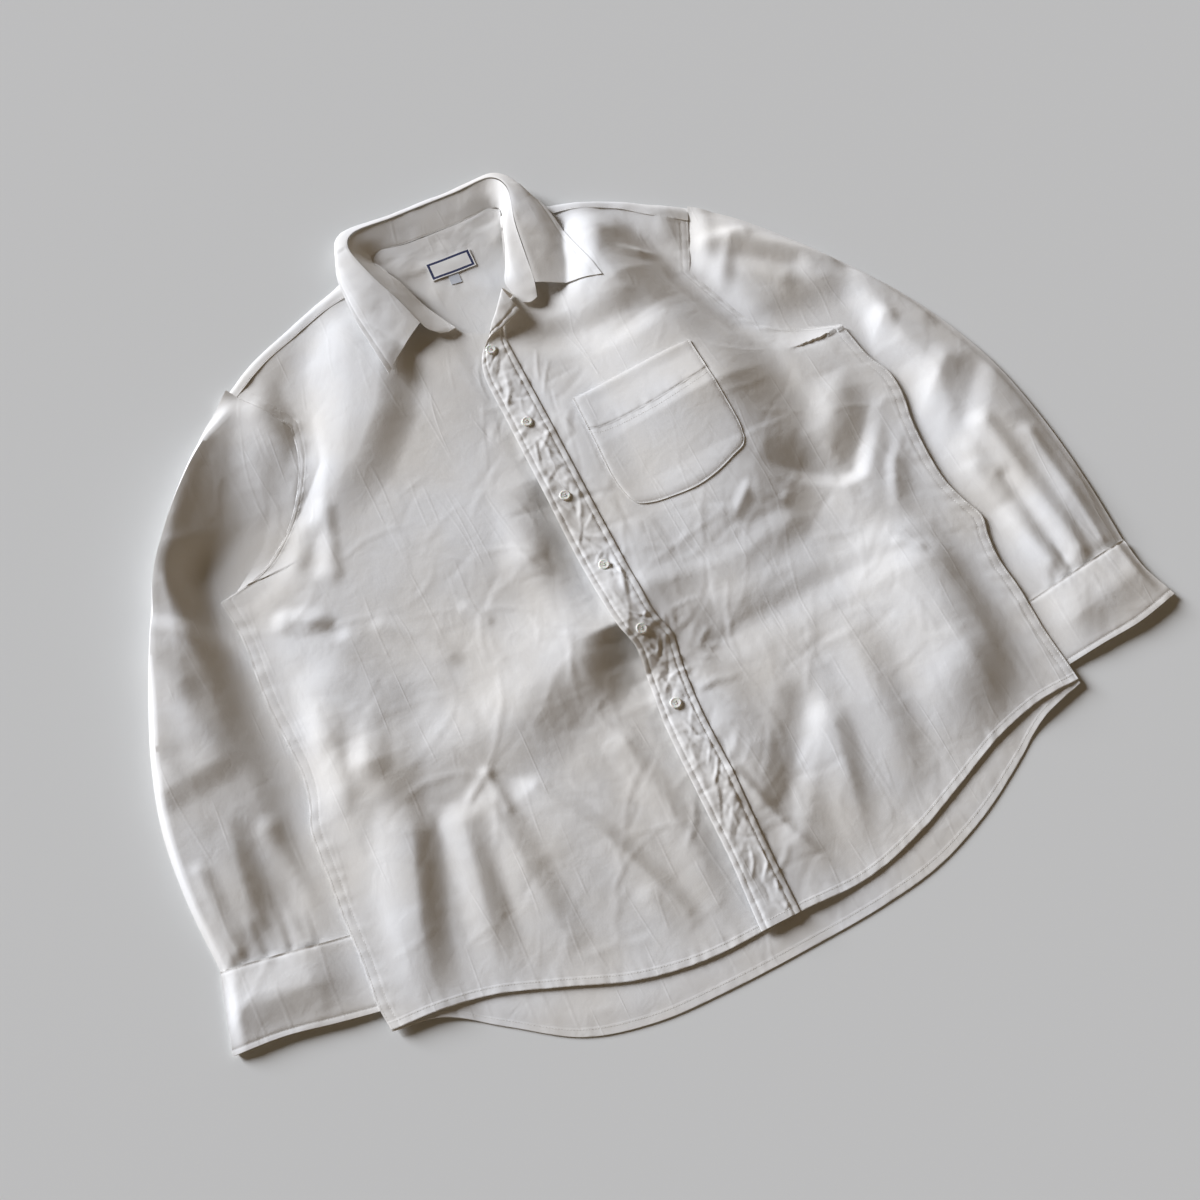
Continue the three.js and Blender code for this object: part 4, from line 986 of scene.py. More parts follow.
def linear(colour):
    """An sRGB hex colour as linear values."""
    parts = [int(colour[n:n + 2], 16) / 255 for n in (1, 3, 5)]
    return tuple(c / 12.92 if c <= 0.04045 else ((c + 0.055) / 1.055) ** 2.4 for c in parts) + (1.0,)


def node(tree, kind, inputs=None, **settings):
    """Adds a node with its settings; an input is a value or another node's output."""
    made = tree.nodes.new(kind)
    for name, value in settings.items():
        setattr(made, name, value)
    for name, value in (inputs or {}).items():
        if isinstance(value, bpy.types.NodeSocket):
            tree.links.new(value, made.inputs[name])
        else:
            made.inputs[name].default_value = value
    return made


def new_material(name, **shader):
    """A material with one Principled shader, its constants set on the shader itself."""
    material = bpy.data.materials.new(name)
    material.use_nodes = True
    tree = material.node_tree
    tree.nodes.clear()
    main = node(tree, "ShaderNodeBsdfPrincipled", {k.replace("_", " "): v for k, v in shader.items()})
    out = node(tree, "ShaderNodeOutputMaterial", {"Surface": main.outputs["BSDF"]})
    out.is_active_output = True
    return material, tree, main


def arithmetic(tree, operation, *terms):
    """The result of a step of arithmetic on values or other nodes' outputs."""
    return node(tree, "ShaderNodeMath", dict(enumerate(terms)), operation=operation).outputs[0]


def bump(tree, height, strength, distance, under=None):
    """The normal of a bump of some metres, over the bumps under it."""
    below = {} if under is None else {"Normal": under}
    inputs = {"Height": height, "Strength": strength, "Distance": distance, **below}
    return node(tree, "ShaderNodeBump", inputs).outputs["Normal"]


def two_tones(tree, factor, low, high):
    """The colour between two (place, linear colour) pairs of a ramp."""
    ramp = node(tree, "ShaderNodeValToRGB", {"Fac": factor})
    for element, (place, colour) in zip(ramp.color_ramp.elements, (low, high)):
        element.position, element.color = place, colour
    return ramp.outputs["Color"]


def pressed_lines(tree, place, turn, scale, seed):
    """Thin creases: a few broken lines where a stretched noise crosses its middle value."""
    turned = node(tree, "ShaderNodeMapping", {
        "Vector": place, "Location": (seed, 0.37 * seed, 0.0), "Rotation": (0.0, 0.0, turn),
        "Scale": (1.0, 0.13, 1.0),
    })
    field = node(tree, "ShaderNodeTexNoise", {
        "Vector": turned.outputs["Vector"], "Scale": scale, "Detail": 0.0,
    })
    away = arithmetic(tree, "ABSOLUTE", arithmetic(tree, "SUBTRACT", field.outputs["Fac"], 0.5))
    line = node(tree, "ShaderNodeMapRange", {
        "Value": away, "From Min": 0.0, "From Max": 0.03, "To Min": 1.0, "To Max": 0.0,
    }, interpolation_type="SMOOTHSTEP")
    broken = node(tree, "ShaderNodeTexNoise", {"Vector": place, "Scale": 0.55 * scale, "Detail": 0.0})
    kept = node(tree, "ShaderNodeMapRange", {
        "Value": broken.outputs["Fac"], "From Min": 0.5, "From Max": 0.64, "To Min": 0.0, "To Max": 1.0,
    })
    return arithmetic(tree, "MULTIPLY", line.outputs[0], kept.outputs[0])


@functools.lru_cache
def poplin():
    """Cotton poplin, washed soft: a fine plain weave that scatters light, with a dull sheen at its folds."""
    look = bpy.context.scene.shirt_cloth
    material, tree, main = new_material(
        "white cotton poplin", Roughness=0.86, Sheen_Weight=0.15, Sheen_Roughness=0.45,
        Specular_IOR_Level=0.25,
    )
    main.inputs["Sheen Tint"].default_value = (1, 1, 1, 1)
    place = node(tree, "ShaderNodeTexCoord")
    cloud = node(tree, "ShaderNodeTexNoise", {"Vector": place.outputs["Object"], "Scale": 9.0, "Detail": 3.0})
    tones = two_tones(tree, cloud.outputs["Fac"], (0.35, linear("#EEEAE3")), (0.62, (*look.colour, 1.0)))
    tree.links.new(tones, main.inputs["Base Color"])
    # Warp and weft every 0.5 mm, about twice as coarse as real poplin, so that close views show them.
    threads = []
    for direction in ("X", "Y"):
        threads.append(node(tree, "ShaderNodeTexWave", {
            "Vector": place.outputs["UV"], "Scale": 314.0, "Distortion": 0.6, "Detail": 1.0,
            "Detail Scale": 2.0,
        }, wave_type="BANDS", bands_direction=direction))
    weave = arithmetic(tree, "MAXIMUM", *(thread.outputs["Fac"] for thread in threads))
    # Slubs and dry creases 2 to 8 mm across.
    slub = node(tree, "ShaderNodeTexNoise", {
        "Vector": place.outputs["Object"], "Scale": 170.0, "Detail": 4.0, "Roughness": 0.62,
    })
    rumple = node(tree, "ShaderNodeTexNoise", {
        "Vector": place.outputs["Object"], "Scale": 46.0, "Detail": 3.0, "Roughness": 0.5, "Distortion": 0.8,
    })
    normal = bump(tree, weave, 0.25, 0.0001)
    normal = bump(tree, slub.outputs["Fac"], 0.3, 0.0004, under=normal)
    normal = bump(tree, rumple.outputs["Fac"], 0.16, 0.0022, under=normal)
    # Pressed lines about 2 mm wide and 20 to 80 mm long, leaning four ways.
    for turn, scale, seed in ((0.5, 26.0, 1.0), (-0.6, 30.0, 2.0), (1.7, 34.0, 3.0), (1.1, 22.0, 4.0)):
        line = pressed_lines(tree, place.outputs["Object"], turn, scale, seed)
        normal = bump(tree, line, 0.22, 0.0004, under=normal)
    tree.links.new(normal, main.inputs["Normal"])
    # A single layer lets some of the light through, so that cloth lit from behind glows.
    through = node(tree, "ShaderNodeBsdfTranslucent", {"Color": tones, "Normal": normal})
    out = next(n for n in tree.nodes if n.type == "OUTPUT_MATERIAL")
    both = node(tree, "ShaderNodeMixShader", {0: 0.2, 1: main.outputs["BSDF"], 2: through.outputs["BSDF"]})
    tree.links.new(both.outputs[0], out.inputs["Surface"])
    return material


@functools.lru_cache
def button_shell():
    """Pearly cast polyester, polished: a glossy white disc with faint cloudy layers."""
    material, tree, main = new_material(
        "pearly polyester", Roughness=0.22, IOR=1.55, Coat_Weight=0.4, Coat_Roughness=0.08,
        Subsurface_Weight=0.2, Subsurface_Scale=0.001,
    )
    place = node(tree, "ShaderNodeTexCoord")
    layers = node(tree, "ShaderNodeTexNoise", {
        "Vector": place.outputs["Object"], "Scale": 260.0, "Detail": 3.0, "Distortion": 2.5,
    })
    tones = two_tones(tree, layers.outputs["Fac"], (0.3, linear("#DAD8CC")), (0.65, linear("#F6F5EF")))
    tree.links.new(tones, main.inputs["Base Color"])
    return material


@functools.lru_cache
def sewing_thread():
    """Spun polyester thread, white: slightly brighter than the cloth and soft."""
    material, tree, main = new_material("white sewing thread", Roughness=0.6, Sheen_Weight=0.3)
    place = node(tree, "ShaderNodeTexCoord")
    fuzz = node(tree, "ShaderNodeTexNoise", {
        "Vector": place.outputs["Object"], "Scale": 700.0, "Detail": 2.0,
    })
    tones = two_tones(tree, fuzz.outputs["Fac"], (0.0, linear("#E2DFD6")), (1.0, linear("#F7F5F0")))
    tree.links.new(tones, main.inputs["Base Color"])
    return material


@functools.lru_cache
def label_tape(bordered):
    """Woven satin tape: smooth and a little shiny, with or without a plain navy border woven in."""
    material, tree, main = new_material(
        "woven label tape" + (" with border" if bordered else ""), Roughness=0.5, Sheen_Weight=0.3,
    )
    place = node(tree, "ShaderNodeTexCoord")
    # Ribs of the satin every 0.4 mm.
    ribs = node(tree, "ShaderNodeTexWave", {"Vector": place.outputs["UV"], "Scale": 390.0},
                wave_type="BANDS", bands_direction="Y")
    tree.links.new(bump(tree, ribs.outputs["Fac"], 0.3, 0.0001), main.inputs["Normal"])
    low, high = ("#E8E6E1", "#F5F4F1") if bordered else ("#B4B8C0", "#CDD0D4")
    tones = node(tree, "ShaderNodeMix", {"A": linear(low), "B": linear(high),
                                         "Factor": ribs.outputs["Fac"]}, data_type="RGBA")
    colour = tones.outputs["Result"]
    if bordered:
        split = node(tree, "ShaderNodeSeparateXYZ", {"Vector": place.outputs["UV"]})
        edges = []
        for axis, size in (("X", 0.05), ("Y", 0.022)):
            rest = arithmetic(tree, "SUBTRACT", size, split.outputs[axis])
            edges.append(arithmetic(tree, "MINIMUM", split.outputs[axis], rest))
        # The border runs 1.2 to 3.8 mm in from the edge.
        band = arithmetic(tree, "COMPARE", arithmetic(tree, "MINIMUM", *edges), 0.0025, 0.0013)
        mixed = node(tree, "ShaderNodeMix", {"Factor": band, "A": colour,
                                             "B": linear("#172352")}, data_type="RGBA")
        colour = mixed.outputs["Result"]
    tree.links.new(colour, main.inputs["Base Color"])
    return material


# ------------------------------------------------------------------ buttons and stitches

def button_mesh(diameter, thickness):
    """A dished disc with a rounded rim and four holes, made once and placed for each button."""
    r = diameter / 2
    profile = [(0, 0), (0.72, 0), (0.93, 0.2), (1, 0.5), (0.97, 0.8), (0.88, 0.97), (0.78, 1.0),
               (0.68, 0.94), (0.6, 0.88), (0, 0.88)]
    disc = bmesh.new()
    ring = [disc.verts.new((a * r, 0, b * thickness)) for a, b in profile]
    edges = [disc.edges.new(pair) for pair in zip(ring, ring[1:])]
    bmesh.ops.spin(disc, geom=ring + edges, cent=(0, 0, 0), axis=(0, 0, 1), angle=2 * math.pi, steps=36,
                   use_merge=True)
    bmesh.ops.remove_doubles(disc, verts=disc.verts, dist=1e-4)
    bmesh.ops.recalc_face_normals(disc, faces=disc.faces)
    cutter = bmesh.new()
    for turn in range(4):
        angle = math.radians(45 + 90 * turn)
        place = Vector((math.cos(angle), math.sin(angle), 0)) * 1.4
        made = bmesh.ops.create_cone(cutter, segments=10, radius1=0.6, radius2=0.6, depth=3 * thickness,
                                     cap_ends=True)
        bmesh.ops.translate(cutter, vec=place, verts=made["verts"])
    shapes = []
    for name, shape in (("button blank", disc), ("button holes", cutter)):
        mesh = bpy.data.meshes.new(name)
        shape.to_mesh(mesh)
        shape.free()
        shapes.append(add_object(name, mesh))
    blank, holes = shapes
    cut = blank.modifiers.new("holes", "BOOLEAN")
    cut.object, cut.operation, cut.solver = holes, "DIFFERENCE", "EXACT"
    graph = bpy.context.evaluated_depsgraph_get()
    result = bpy.data.meshes.new_from_object(blank.evaluated_get(graph))
    points = np.array([v.co for v in result.vertices])
    faces = [tuple(p.vertices) for p in result.polygons]
    for spare in (blank, holes):
        bpy.data.objects.remove(spare)
    bpy.data.meshes.remove(result)
    return points, faces


def turned(points, angle):
    """Points turned about Z."""
    points = np.array(points)
    c, s = math.cos(angle), math.sin(angle)
    points[:, :2] = points[:, :2] @ np.array([[c, s], [-s, c]])
    return points


def tilt(points, lean):
    """How much a leaning button raises each of its points."""
    return lean[0] * points[:, 0] + lean[1] * points[:, 1]


def place_button(name, points, faces, spot):
    """One button, turned a little on its thread, at its own place on the placket."""
    placed = turned(points, spot["turn"])
    placed[:, 2] += tilt(placed, spot["lean"])
    mesh = bpy.data.meshes.new(name)
    mesh.from_pydata(to_frame(placed + [spot["x"], spot["y"], spot["z"]]).tolist(), [], faces)
    mesh.shade_smooth()
    mesh.set_sharp_from_angle(angle=math.radians(40))
    mesh.materials.append(button_shell())
    return add_object(name, mesh)


def button_spots():
    """Where each button sits: on the highest point of the placket beneath it."""
    rng = np.random.default_rng(5)
    spots = []
    for x, y in BUTTONS:
        ring = np.linspace(0, 6.28, 9)[:-1]
        px, py = x + 5 * np.cos(ring), y + 5 * np.sin(ring)
        under = left_height(px, py)
        lean = (float((under[0] - under[4]) / 10 * 0.6), float((under[2] - under[6]) / 10 * 0.6))
        z = float(left_height(np.array([x]), np.array([y]))[0]) + 2 * cloth_thickness() + 1.2
        spots.append({"x": x, "y": y, "z": max(z, float(under.mean()) + 2.6), "lean": lean,
                      "turn": rng.uniform(-0.4, 0.4)})
    return spots


def stitch_tree():
    """Geometry Nodes: a row of thread stitches along each drawn line."""
    tree = bpy.data.node_groups.new("rows of stitches", "GeometryNodeTree")
    face = tree.interface
    face.new_socket("Geometry", in_out="INPUT", socket_type="NodeSocketGeometry")
    for name, default in (("Pitch", 0.0026), ("Stitch Length", 0.0019), ("Thread", 0.00042)):
        socket = face.new_socket(name, in_out="INPUT", socket_type="NodeSocketFloat")
        socket.subtype, socket.default_value = "DISTANCE", default
    face.new_socket("Material", in_out="INPUT", socket_type="NodeSocketMaterial")
    face.new_socket("Geometry", in_out="OUTPUT", socket_type="NodeSocketGeometry")
    given = node(tree, "NodeGroupInput")
    lines = node(tree, "GeometryNodeMeshToCurve", {"Mesh": given.outputs["Geometry"]})
    even = node(tree, "GeometryNodeResampleCurve", {
        "Curve": lines.outputs["Curve"], "Length": given.outputs["Pitch"],
    }, mode="LENGTH")
    thread = node(tree, "GeometryNodeMeshUVSphere", {"Segments": 6, "Rings": 4, "Radius": 0.5})
    size = node(tree, "ShaderNodeCombineXYZ", {
        "X": given.outputs["Stitch Length"], "Y": given.outputs["Thread"], "Z": given.outputs["Thread"],
    })
    shaped = node(tree, "GeometryNodeTransform", {
        "Geometry": thread.outputs["Mesh"], "Scale": size.outputs[0],
    })
    tangent = node(tree, "GeometryNodeInputTangent")
    turn = node(tree, "FunctionNodeAlignRotationToVector", {"Vector": tangent.outputs[0]}, axis="X")
    placed = node(tree, "GeometryNodeInstanceOnPoints", {
        "Points": even.outputs["Curve"], "Instance": shaped.outputs["Geometry"],
        "Rotation": turn.outputs["Rotation"],
    })
    real = node(tree, "GeometryNodeRealizeInstances", {"Geometry": placed.outputs["Instances"]})
    done = node(tree, "GeometryNodeSetMaterial", {
        "Geometry": real.outputs["Geometry"], "Material": given.outputs["Material"],
    })
    node(tree, "NodeGroupOutput", {"Geometry": done.outputs["Geometry"]})
    return tree


def stitch_lines():
    """Every row of topstitching, as lines on the finished surfaces."""
    back, right, left = back_surface(), right_front_surface(), left_front_surface()
    placket, pocket, collar = placket_surface(), pocket_surface(), collar_surface()
    yoke, stand = yoke_surface(), stand_surface()
    lines = [
        back[4, 8:-8], right[4, 4:-2], left[4, 3:-4],
        right[6:, 2], right[6:, 5], left[6:, -3], left[6:, -6],
        placket[5:, 3], placket[5:, -4], placket[4, 3:-3],
        pocket[2, 2:-2], pocket[2:, 2], pocket[2:, -3],
        pocket[np.argmin(np.abs(pocket[:, 0, 1] - (POCKET["top"] - POCKET["hem"]))), 2:-2],
        collar[3:-3, -4], collar[3, 4:-3], collar[-4, 4:-3],
        stand[2:-2, 1],
    ]
    n = len(yoke)
    lines += [yoke[2:int(n * 0.3), -2], yoke[int(n * 0.7):-2, -2]]
    for side in ("right", "left"):
        cuff = cuff_surface(side)
        lines += [cuff[2, 2:-2], cuff[-4, 2:-2]]
    return [line + [0, 0, 0.05] for line in lines]


def inward(outer):
    """Normals of the yoke's outer side, turned towards the neck's inside."""
    n = normals(outer)
    return n * (1 if n[:, :8, 2].mean() > 0 else -1)


def thread_cross(spot, thickness):
    """Two pairs of thread through a button's holes, as small arched bars."""
    points, faces = [], []
    for side in (-1, 1):
        ends = turned([[-1.0, side, 0], [1.0, side, 0]], spot["turn"])
        line = np.stack([ends[0] + (ends[1] - ends[0]) * t for t in np.linspace(0, 1, 7)])
        line[:, 2] = 0.84 * thickness + 0.5 * np.sin(np.linspace(0, math.pi, 7)) - 0.1
        line[:, 2] += tilt(line, spot["lean"])
        along = (ends[1] - ends[0]) / np.linalg.norm(ends[1] - ends[0])
        aside = np.array([-along[1], along[0], 0])
        turns = np.linspace(0, 2 * math.pi, 7)[:-1]
        ring = 0.3 * (np.cos(turns)[:, None] * aside + np.sin(turns)[:, None] * np.array([0, 0, 0.8]))
        start = len(points)
        points += [p + r for p in line for r in ring]
        for i in range(6):
            for j in range(6):
                a, b = start + i * 6 + j, start + i * 6 + (j + 1) % 6
                faces.append([a, b, b + 6, a + 6])
        for base, order in ((start, (0, 5, 4, 3)), (start, (0, 3, 2, 1)), (start + 36, (0, 1, 2, 3)),
                            (start + 36, (0, 3, 4, 5))):
            faces.append([base + n for n in order])
    placed = np.array(points) + [spot["x"], spot["y"], spot["z"]]
    return placed, np.array(faces)


def over_yoke(x, y):
    """Height of the yoke's inside beneath points of the plan, evened out over the cloth around them."""
    known = yoke_surface().reshape(-1, 3)
    known = known[(np.abs(known[:, 0] - 6) < 60) & (known[:, 1] > 300)]
    away = np.hypot(x[..., None] - known[:, 0], y[..., None] - known[:, 1])
    share = np.exp(-(away / 6) ** 2) + 1e-12
    return (share * known[:, 2]).sum(axis=-1) / share.sum(axis=-1) + 0.3


# ------------------------------------------------------------------ settings

class ShirtClothSettings(bpy.types.PropertyGroup):
    thickness: FloatProperty(
        name="Cloth Thickness", description="Thickness of one layer of poplin, drawn a little heavy",
        default=0.0007, min=0.0002, max=0.0012, subtype="DISTANCE", unit="LENGTH", precision=5)
    crease_strength: FloatProperty(
        name="Crease Strength", description="How high the small creases stand", default=1.0, min=0, max=3)
    crease_seed: IntProperty(
        name="Crease Seed", description="Another seed lays the small creases another way", default=12)
    colour: FloatVectorProperty(
        name="Cloth Colour", description="Base colour of the poplin", subtype="COLOR", size=3,
        default=linear("#F2F1EF")[:3], min=0, max=1)


class ShirtTrimSettings(bpy.types.PropertyGroup):
    button_diameter: FloatProperty(
        name="Button Diameter", description="Across one shirt button", default=0.011, subtype="DISTANCE",
        unit="LENGTH", precision=4)
    button_thickness: FloatProperty(
        name="Button Thickness", description="Through one shirt button at its rim", default=0.0022,
        subtype="DISTANCE", unit="LENGTH", precision=4)
    stitch_pitch: FloatProperty(
        name="Stitch Pitch", description="From one stitch to the next", default=0.0026, subtype="DISTANCE",
        unit="LENGTH", precision=5)
    stitch_length: FloatProperty(
        name="Stitch Length", description="The part of a stitch that shows", default=0.0018,
        subtype="DISTANCE", unit="LENGTH", precision=5)
    thread: FloatProperty(
        name="Thread Thickness", description="Across the sewing thread", default=0.00034,
        subtype="DISTANCE", unit="LENGTH", precision=5)
    label_width: FloatProperty(
        name="Label Width", description="Along the neck label", default=0.05, subtype="DISTANCE",
        unit="LENGTH", precision=4)
    label_height: FloatProperty(
        name="Label Height", description="Down the neck label", default=0.022, subtype="DISTANCE",
        unit="LENGTH", precision=4)


class ShirtStageSettings(bpy.types.PropertyGroup):
    floor_colour: FloatVectorProperty(
        name="Floor Colour", description="Base colour of the plain floor", subtype="COLOR", size=3,
        default=linear("#DADAD7")[:3], min=0, max=1)
    window_strength: FloatProperty(
        name="Window Strength", description="Strength of the low soft light", default=6.3, min=0)
    window_height: FloatProperty(
        name="Window Height", description="How high the low soft light stands over the table",
        default=math.radians(20), subtype="ANGLE", unit="ROTATION")
    window_softness: FloatProperty(
        name="Window Softness", description="How wide the low soft light looks from the table",
        default=math.radians(24), subtype="ANGLE", unit="ROTATION")
    card_strength: FloatProperty(
        name="Card Strength", description="Strength of the warm light that a card throws back",
        default=0.16, min=0, max=4)
    fill: FloatProperty(
        name="Fill", description="Strength of the warm light from the walls", default=0.27, min=0, max=2)
    azimuth: FloatProperty(
        name="Camera Azimuth", description="Turn of the view from looking along +Y",
        default=math.radians(-26), subtype="ANGLE", unit="ROTATION")
    elevation: FloatProperty(
        name="Camera Elevation", description="Height of the view above the table", default=math.radians(69),
        subtype="ANGLE", unit="ROTATION")
    distance: FloatProperty(
        name="Camera Distance", description="From the camera to the place on the table that it faces",
        default=1.14286, subtype="DISTANCE", unit="LENGTH")


# ------------------------------------------------------------------ operators

class SHIRT_OT_back(bpy.types.Operator):
    """Lay the back panel on the table and over the tucked sleeves"""
    bl_idname = "shirt.back"
    bl_label = "Back"

    def execute(self, context):
        piece = sheet_piece("back_panel", back_surface(), poplin())
        rides(piece, "back")
        return {"FINISHED"}


class SHIRT_OT_yoke(bpy.types.Operator):
    """Roll the yoke over the shoulders"""
    bl_idname = "shirt.yoke"
    bl_label = "Yoke"

    def execute(self, context):
        outer = yoke_surface()
        piece = wall("yoke_panel", outer, outer + cloth_thickness() * inward(outer), poplin())
        rides(piece, "yoke")
        return {"FINISHED"}


class SHIRT_OT_fronts(bpy.types.Operator):
    """Lay the two fronts over the back, with their folds and creases"""
    bl_idname = "shirt.fronts"
    bl_label = "Fronts"

    def execute(self, context):
        right = sheet_piece("right_front_panel", right_front_surface(), poplin())
        rides(right, "front_right")
        left = sheet_piece("left_front_panel", left_front_surface(), poplin())
        rides(left, "front_left")
        return {"FINISHED"}


class SHIRT_OT_placket(bpy.types.Operator):
    """Fold the placket onto the left front's edge, its top turned out"""
    bl_idname = "shirt.placket"
    bl_label = "Placket"

    def execute(self, context):
        piece = sheet_piece("placket_strip", placket_surface(), poplin())
        rides(piece, "placket")
        return {"FINISHED"}


class SHIRT_OT_pocket(bpy.types.Operator):
    """Sew the patch pocket to the left front"""
    bl_idname = "shirt.pocket"
    bl_label = "Pocket"

    def execute(self, context):
        piece = sheet_piece("pocket_patch", pocket_surface(), poplin())
        rides(piece, "pocket")
        return {"FINISHED"}


class SHIRT_OT_sleeves(bpy.types.Operator):
    """Lay the sleeves beside the body, their inner folds tucked under it"""
    bl_idname = "shirt.sleeves"
    bl_label = "Sleeves"

    def execute(self, context):
        for side in ("right", "left"):
            piece = tube_piece(f"{side}_sleeve_cloth", sleeve_surface(side), poplin())
            rides(piece, f"sleeve_{side}")
        return {"FINISHED"}


class SHIRT_OT_cuffs(bpy.types.Operator):
    """Close the sleeves with their two-layer cuffs"""
    bl_idname = "shirt.cuffs"
    bl_label = "Cuffs"

    def execute(self, context):
        for side in ("right", "left"):
            piece = tube_piece(f"{side}_cuff_band", cuff_surface(side), poplin())
            rides(piece, f"cuff_{side}")
        return {"FINISHED"}


class SHIRT_OT_collar(bpy.types.Operator):
    """Stand the collar band round the neck and turn the collar down over it"""
    bl_idname = "shirt.collar"
    bl_label = "Collar and Stand"

    def execute(self, context):
        stand = stand_surface()
        piece = wall("collar_stand_band", stand, stand + cloth_thickness() * normals(stand), poplin())
        rides(piece, "collar_stand")
        fall = collar_surface()
        piece = wall("collar_fall", fall, fall - cloth_thickness() * normals(fall), poplin())
        rides(piece, "collar")
        return {"FINISHED"}


class SHIRT_OT_label(bpy.types.Operator):
    """Sew the bare neck label and its size tab inside the yoke"""
    bl_idname = "shirt.label"
    bl_label = "Label and Size Tab"

    def execute(self, context):
        trim = context.scene.shirt_trim
        width, height = trim.label_width * 1000, trim.label_height * 1000
        tapes = (
            ("neck_label", "label", 7.0, 352.5, width, height, 1.5, label_tape(True)),
            ("blank_size_tab", "size_tab", 4.5, 335.5, 11.5, 12.0, 0.9, label_tape(False)),
        )
        for name, solid, x, y, w, h, raised, material in tapes:
            u, v = np.meshgrid(np.linspace(-0.5, 0.5, 26), np.linspace(-0.5, 0.5, 14))
            px, py = x + u * w + 0.6 * v, y + v * h - 0.9 * u
            pz = over_yoke(px, py) + raised + 0.3 * noise(px, py, 22, 131)
            piece = sheet_piece(name, np.dstack([px, py, pz]), material, thickness=0.35)
            rides(piece, solid)
        return {"FINISHED"}


class SHIRT_OT_buttons(bpy.types.Operator):
    """Make one four-hole button and sew it down the placket, with its thread"""
    bl_idname = "shirt.buttons"
    bl_label = "Buttons"

    def execute(self, context):
        trim = context.scene.shirt_trim
        thickness = trim.button_thickness * 1000
        points, faces = button_mesh(trim.button_diameter * 1000, thickness)
        threads = []
        for number, spot in enumerate(button_spots(), 1):
            button = place_button(f"pearl_button_{number}", points, faces, spot)
            rides(button, f"button_{number}")
            threads.append(thread_cross(spot, thickness))
        corners = np.concatenate([p for p, _ in threads])
        starts = np.cumsum([0] + [len(p) for p, _ in threads[:-1]])
        sides = np.concatenate([f + start for (_, f), start in zip(threads, starts)])
        piece = new_piece("button_thread", corners, sides, sewing_thread())
        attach(piece, "root")
        return {"FINISHED"}


class SHIRT_OT_stitching(bpy.types.Operator):
    """Run the topstitching along hems, seams, placket, pocket and collar"""
    bl_idname = "shirt.stitching"
    bl_label = "Topstitching"

    def execute(self, context):
        trim = context.scene.shirt_trim
        lines = stitch_lines()
        starts = np.cumsum([0] + [len(line) for line in lines[:-1]])
        edges = [(a + n, a + n + 1) for a, line in zip(starts, lines) for n in range(len(line) - 1)]
        drawn = bpy.data.meshes.new("stitch lines")
        drawn.from_pydata(to_frame(np.concatenate(lines)).tolist(), edges, [])
        guide = add_object("stitch lines", drawn)
        tree = stitch_tree()
        rows = guide.modifiers.new("stitches", "NODES")
        rows.node_group = tree
        given = {"Pitch": trim.stitch_pitch, "Stitch Length": trim.stitch_length, "Thread": trim.thread,
                 "Material": sewing_thread()}
        for socket in tree.interface.items_tree:
            if socket.in_out == "INPUT" and socket.name in given:
                rows[socket.identifier] = given[socket.name]
        graph = context.evaluated_depsgraph_get()
        result = bpy.data.meshes.new_from_object(guide.evaluated_get(graph))
        guide.modifiers.remove(rows)
        bpy.data.objects.remove(guide)
        result.shade_smooth()
        piece = add_object("topstitching", result)
        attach(piece, "root")
        return {"FINISHED"}


def sun(name, direction, softness, strength, colour):
    """A distant soft light that shines from a direction over the table."""
    lamp = bpy.data.lights.new(name, "SUN")
    lamp.angle, lamp.energy, lamp.color = softness, strength, linear(colour)[:3]
    light = add_object(name, lamp)
    away = Vector(direction).normalized()
    light.location = away * 2.5
    light.rotation_euler = (-away).to_track_quat("-Z", "Y").to_euler()


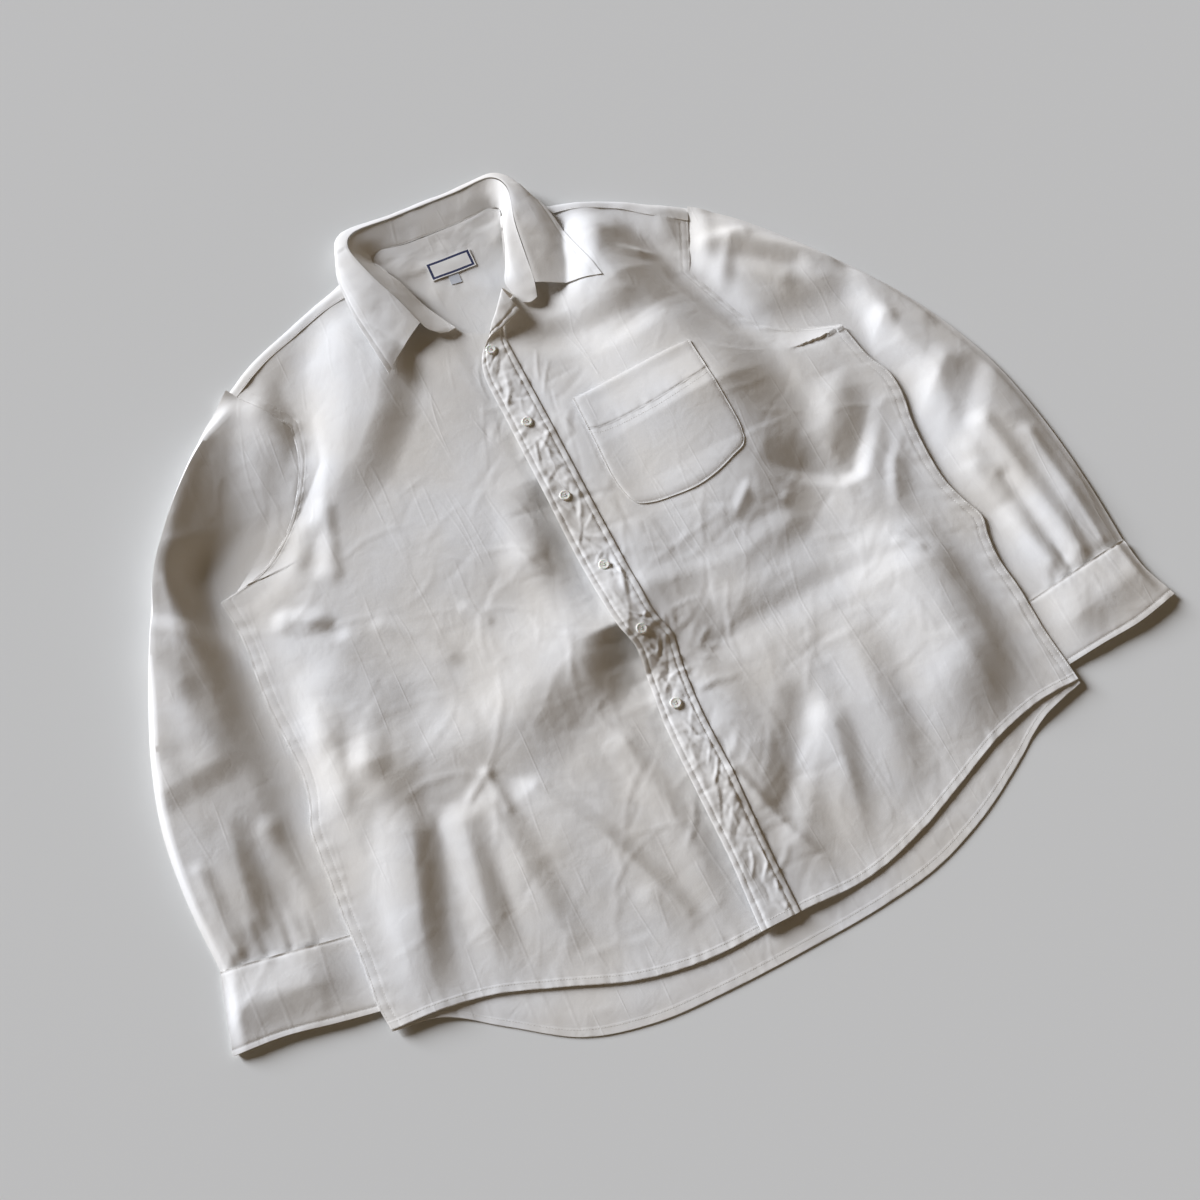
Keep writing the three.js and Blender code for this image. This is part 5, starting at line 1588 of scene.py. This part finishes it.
class SHIRT_OT_stage(bpy.types.Operator):
    """Set the plain floor, the window, the warm card, the pale walls and the camera"""
    bl_idname = "shirt.stage"
    bl_label = "Stage"

    def execute(self, context):
        stage = context.scene.shirt_stage
        material, tree, main = new_material("plain matt floor", Roughness=0.95, Specular_IOR_Level=0.1)
        place = node(tree, "ShaderNodeTexCoord")
        grain = node(tree, "ShaderNodeTexNoise", {"Vector": place.outputs["Object"], "Scale": 400.0})
        tree.links.new(bump(tree, grain.outputs["Fac"], 0.05, 0.0002), main.inputs["Normal"])
        main.inputs["Base Color"].default_value = (*stage.floor_colour, 1.0)
        # The floor is 60 m across, so that its end never shows, and lies just under the cloth.
        size, depth = 30.0, -0.0003
        mesh = bpy.data.meshes.new("floor")
        corners = [(x * size, y * size, depth) for x, y in ((-1, -1), (1, -1), (1, 1), (-1, 1))]
        mesh.from_pydata(corners, [], [(0, 1, 2, 3)])
        mesh.materials.append(material)
        floor = add_object("floor", mesh)

        # Cool low light from the wearer's upper right, and a weak warm return from the far side.
        sun("window", (-0.51, 0.70, 0.86 * math.tan(stage.window_height)), stage.window_softness,
            stage.window_strength, "#F0F5FF")
        sun("card", (0.42, -0.7, 0.4), math.radians(70), stage.card_strength, "#FFD396")

        world = bpy.data.worlds.new("warm room")
        world.use_nodes = True
        back = world.node_tree.nodes["Background"]
        back.inputs["Color"].default_value = linear("#FFE6C4")
        ray = node(world.node_tree, "ShaderNodeTexCoord")
        split = node(world.node_tree, "ShaderNodeSeparateXYZ", {"Vector": ray.outputs["Generated"]})
        # Pale walls up to about 20 degrees, that dim to a dark ceiling from about 37 degrees up.
        walls = node(world.node_tree, "ShaderNodeMapRange", {
            "Value": split.outputs["Z"], "From Min": 0.35, "From Max": 0.6,
            "To Min": stage.fill, "To Max": 0.05,
        })
        world.node_tree.links.new(walls.outputs[0], back.inputs["Strength"])
        context.scene.world = world
        context.scene.view_settings.view_transform = "Standard"

        lens = bpy.data.cameras.new("camera")
        lens.lens, lens.sensor_width, lens.sensor_fit = 36.0, 36.0, "HORIZONTAL"
        camera = add_object("camera", lens)
        ahead = Vector((-math.sin(stage.azimuth) * math.cos(stage.elevation),
                        math.cos(stage.azimuth) * math.cos(stage.elevation), -math.sin(stage.elevation)))
        faced = Vector((-0.020, -0.0631, 0.0))
        camera.location = faced - ahead * stage.distance
        camera.rotation_euler = ahead.to_track_quat("-Z", "Y").to_euler()
        context.scene.camera = camera
        return {"FINISHED"}


class SHIRT_PT_sidebar(bpy.types.Panel):
    """Sizes of the shirt and the steps that build it"""
    bl_idname = "SHIRT_PT_sidebar"
    bl_label = "Crumpled Shirt"
    bl_space_type = "VIEW_3D"
    bl_region_type = "UI"
    bl_category = "Shirt"

    def draw(self, context):
        layout = self.layout
        for name in SETTINGS:
            group = getattr(context.scene, name)
            box = layout.box()
            for prop in group.bl_rna.properties:
                if prop.identifier not in {"rna_type", "name"}:
                    box.prop(group, prop.identifier)
        for operator in OPERATORS:
            layout.operator(operator.bl_idname)


SETTINGS = {
    "shirt_cloth": ShirtClothSettings, "shirt_trim": ShirtTrimSettings, "shirt_stage": ShirtStageSettings,
}
OPERATORS = (
    SHIRT_OT_stage, SHIRT_OT_sleeves, SHIRT_OT_cuffs, SHIRT_OT_back, SHIRT_OT_yoke, SHIRT_OT_fronts,
    SHIRT_OT_placket, SHIRT_OT_pocket, SHIRT_OT_collar, SHIRT_OT_label, SHIRT_OT_buttons,
    SHIRT_OT_stitching,
)


def register():
    for cls in (*SETTINGS.values(), *OPERATORS, SHIRT_PT_sidebar):
        bpy.utils.register_class(cls)
    for name, cls in SETTINGS.items():
        setattr(bpy.types.Scene, name, PointerProperty(type=cls))


def unregister():
    for name in SETTINGS:
        delattr(bpy.types.Scene, name)
    for cls in reversed((*SETTINGS.values(), *OPERATORS, SHIRT_PT_sidebar)):
        bpy.utils.unregister_class(cls)


def main():
    register()
    for operator in OPERATORS:
        family, step = operator.bl_idname.split(".")
        getattr(getattr(bpy.ops, family), step)()
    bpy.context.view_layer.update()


if __name__ == "__main__":
    main()
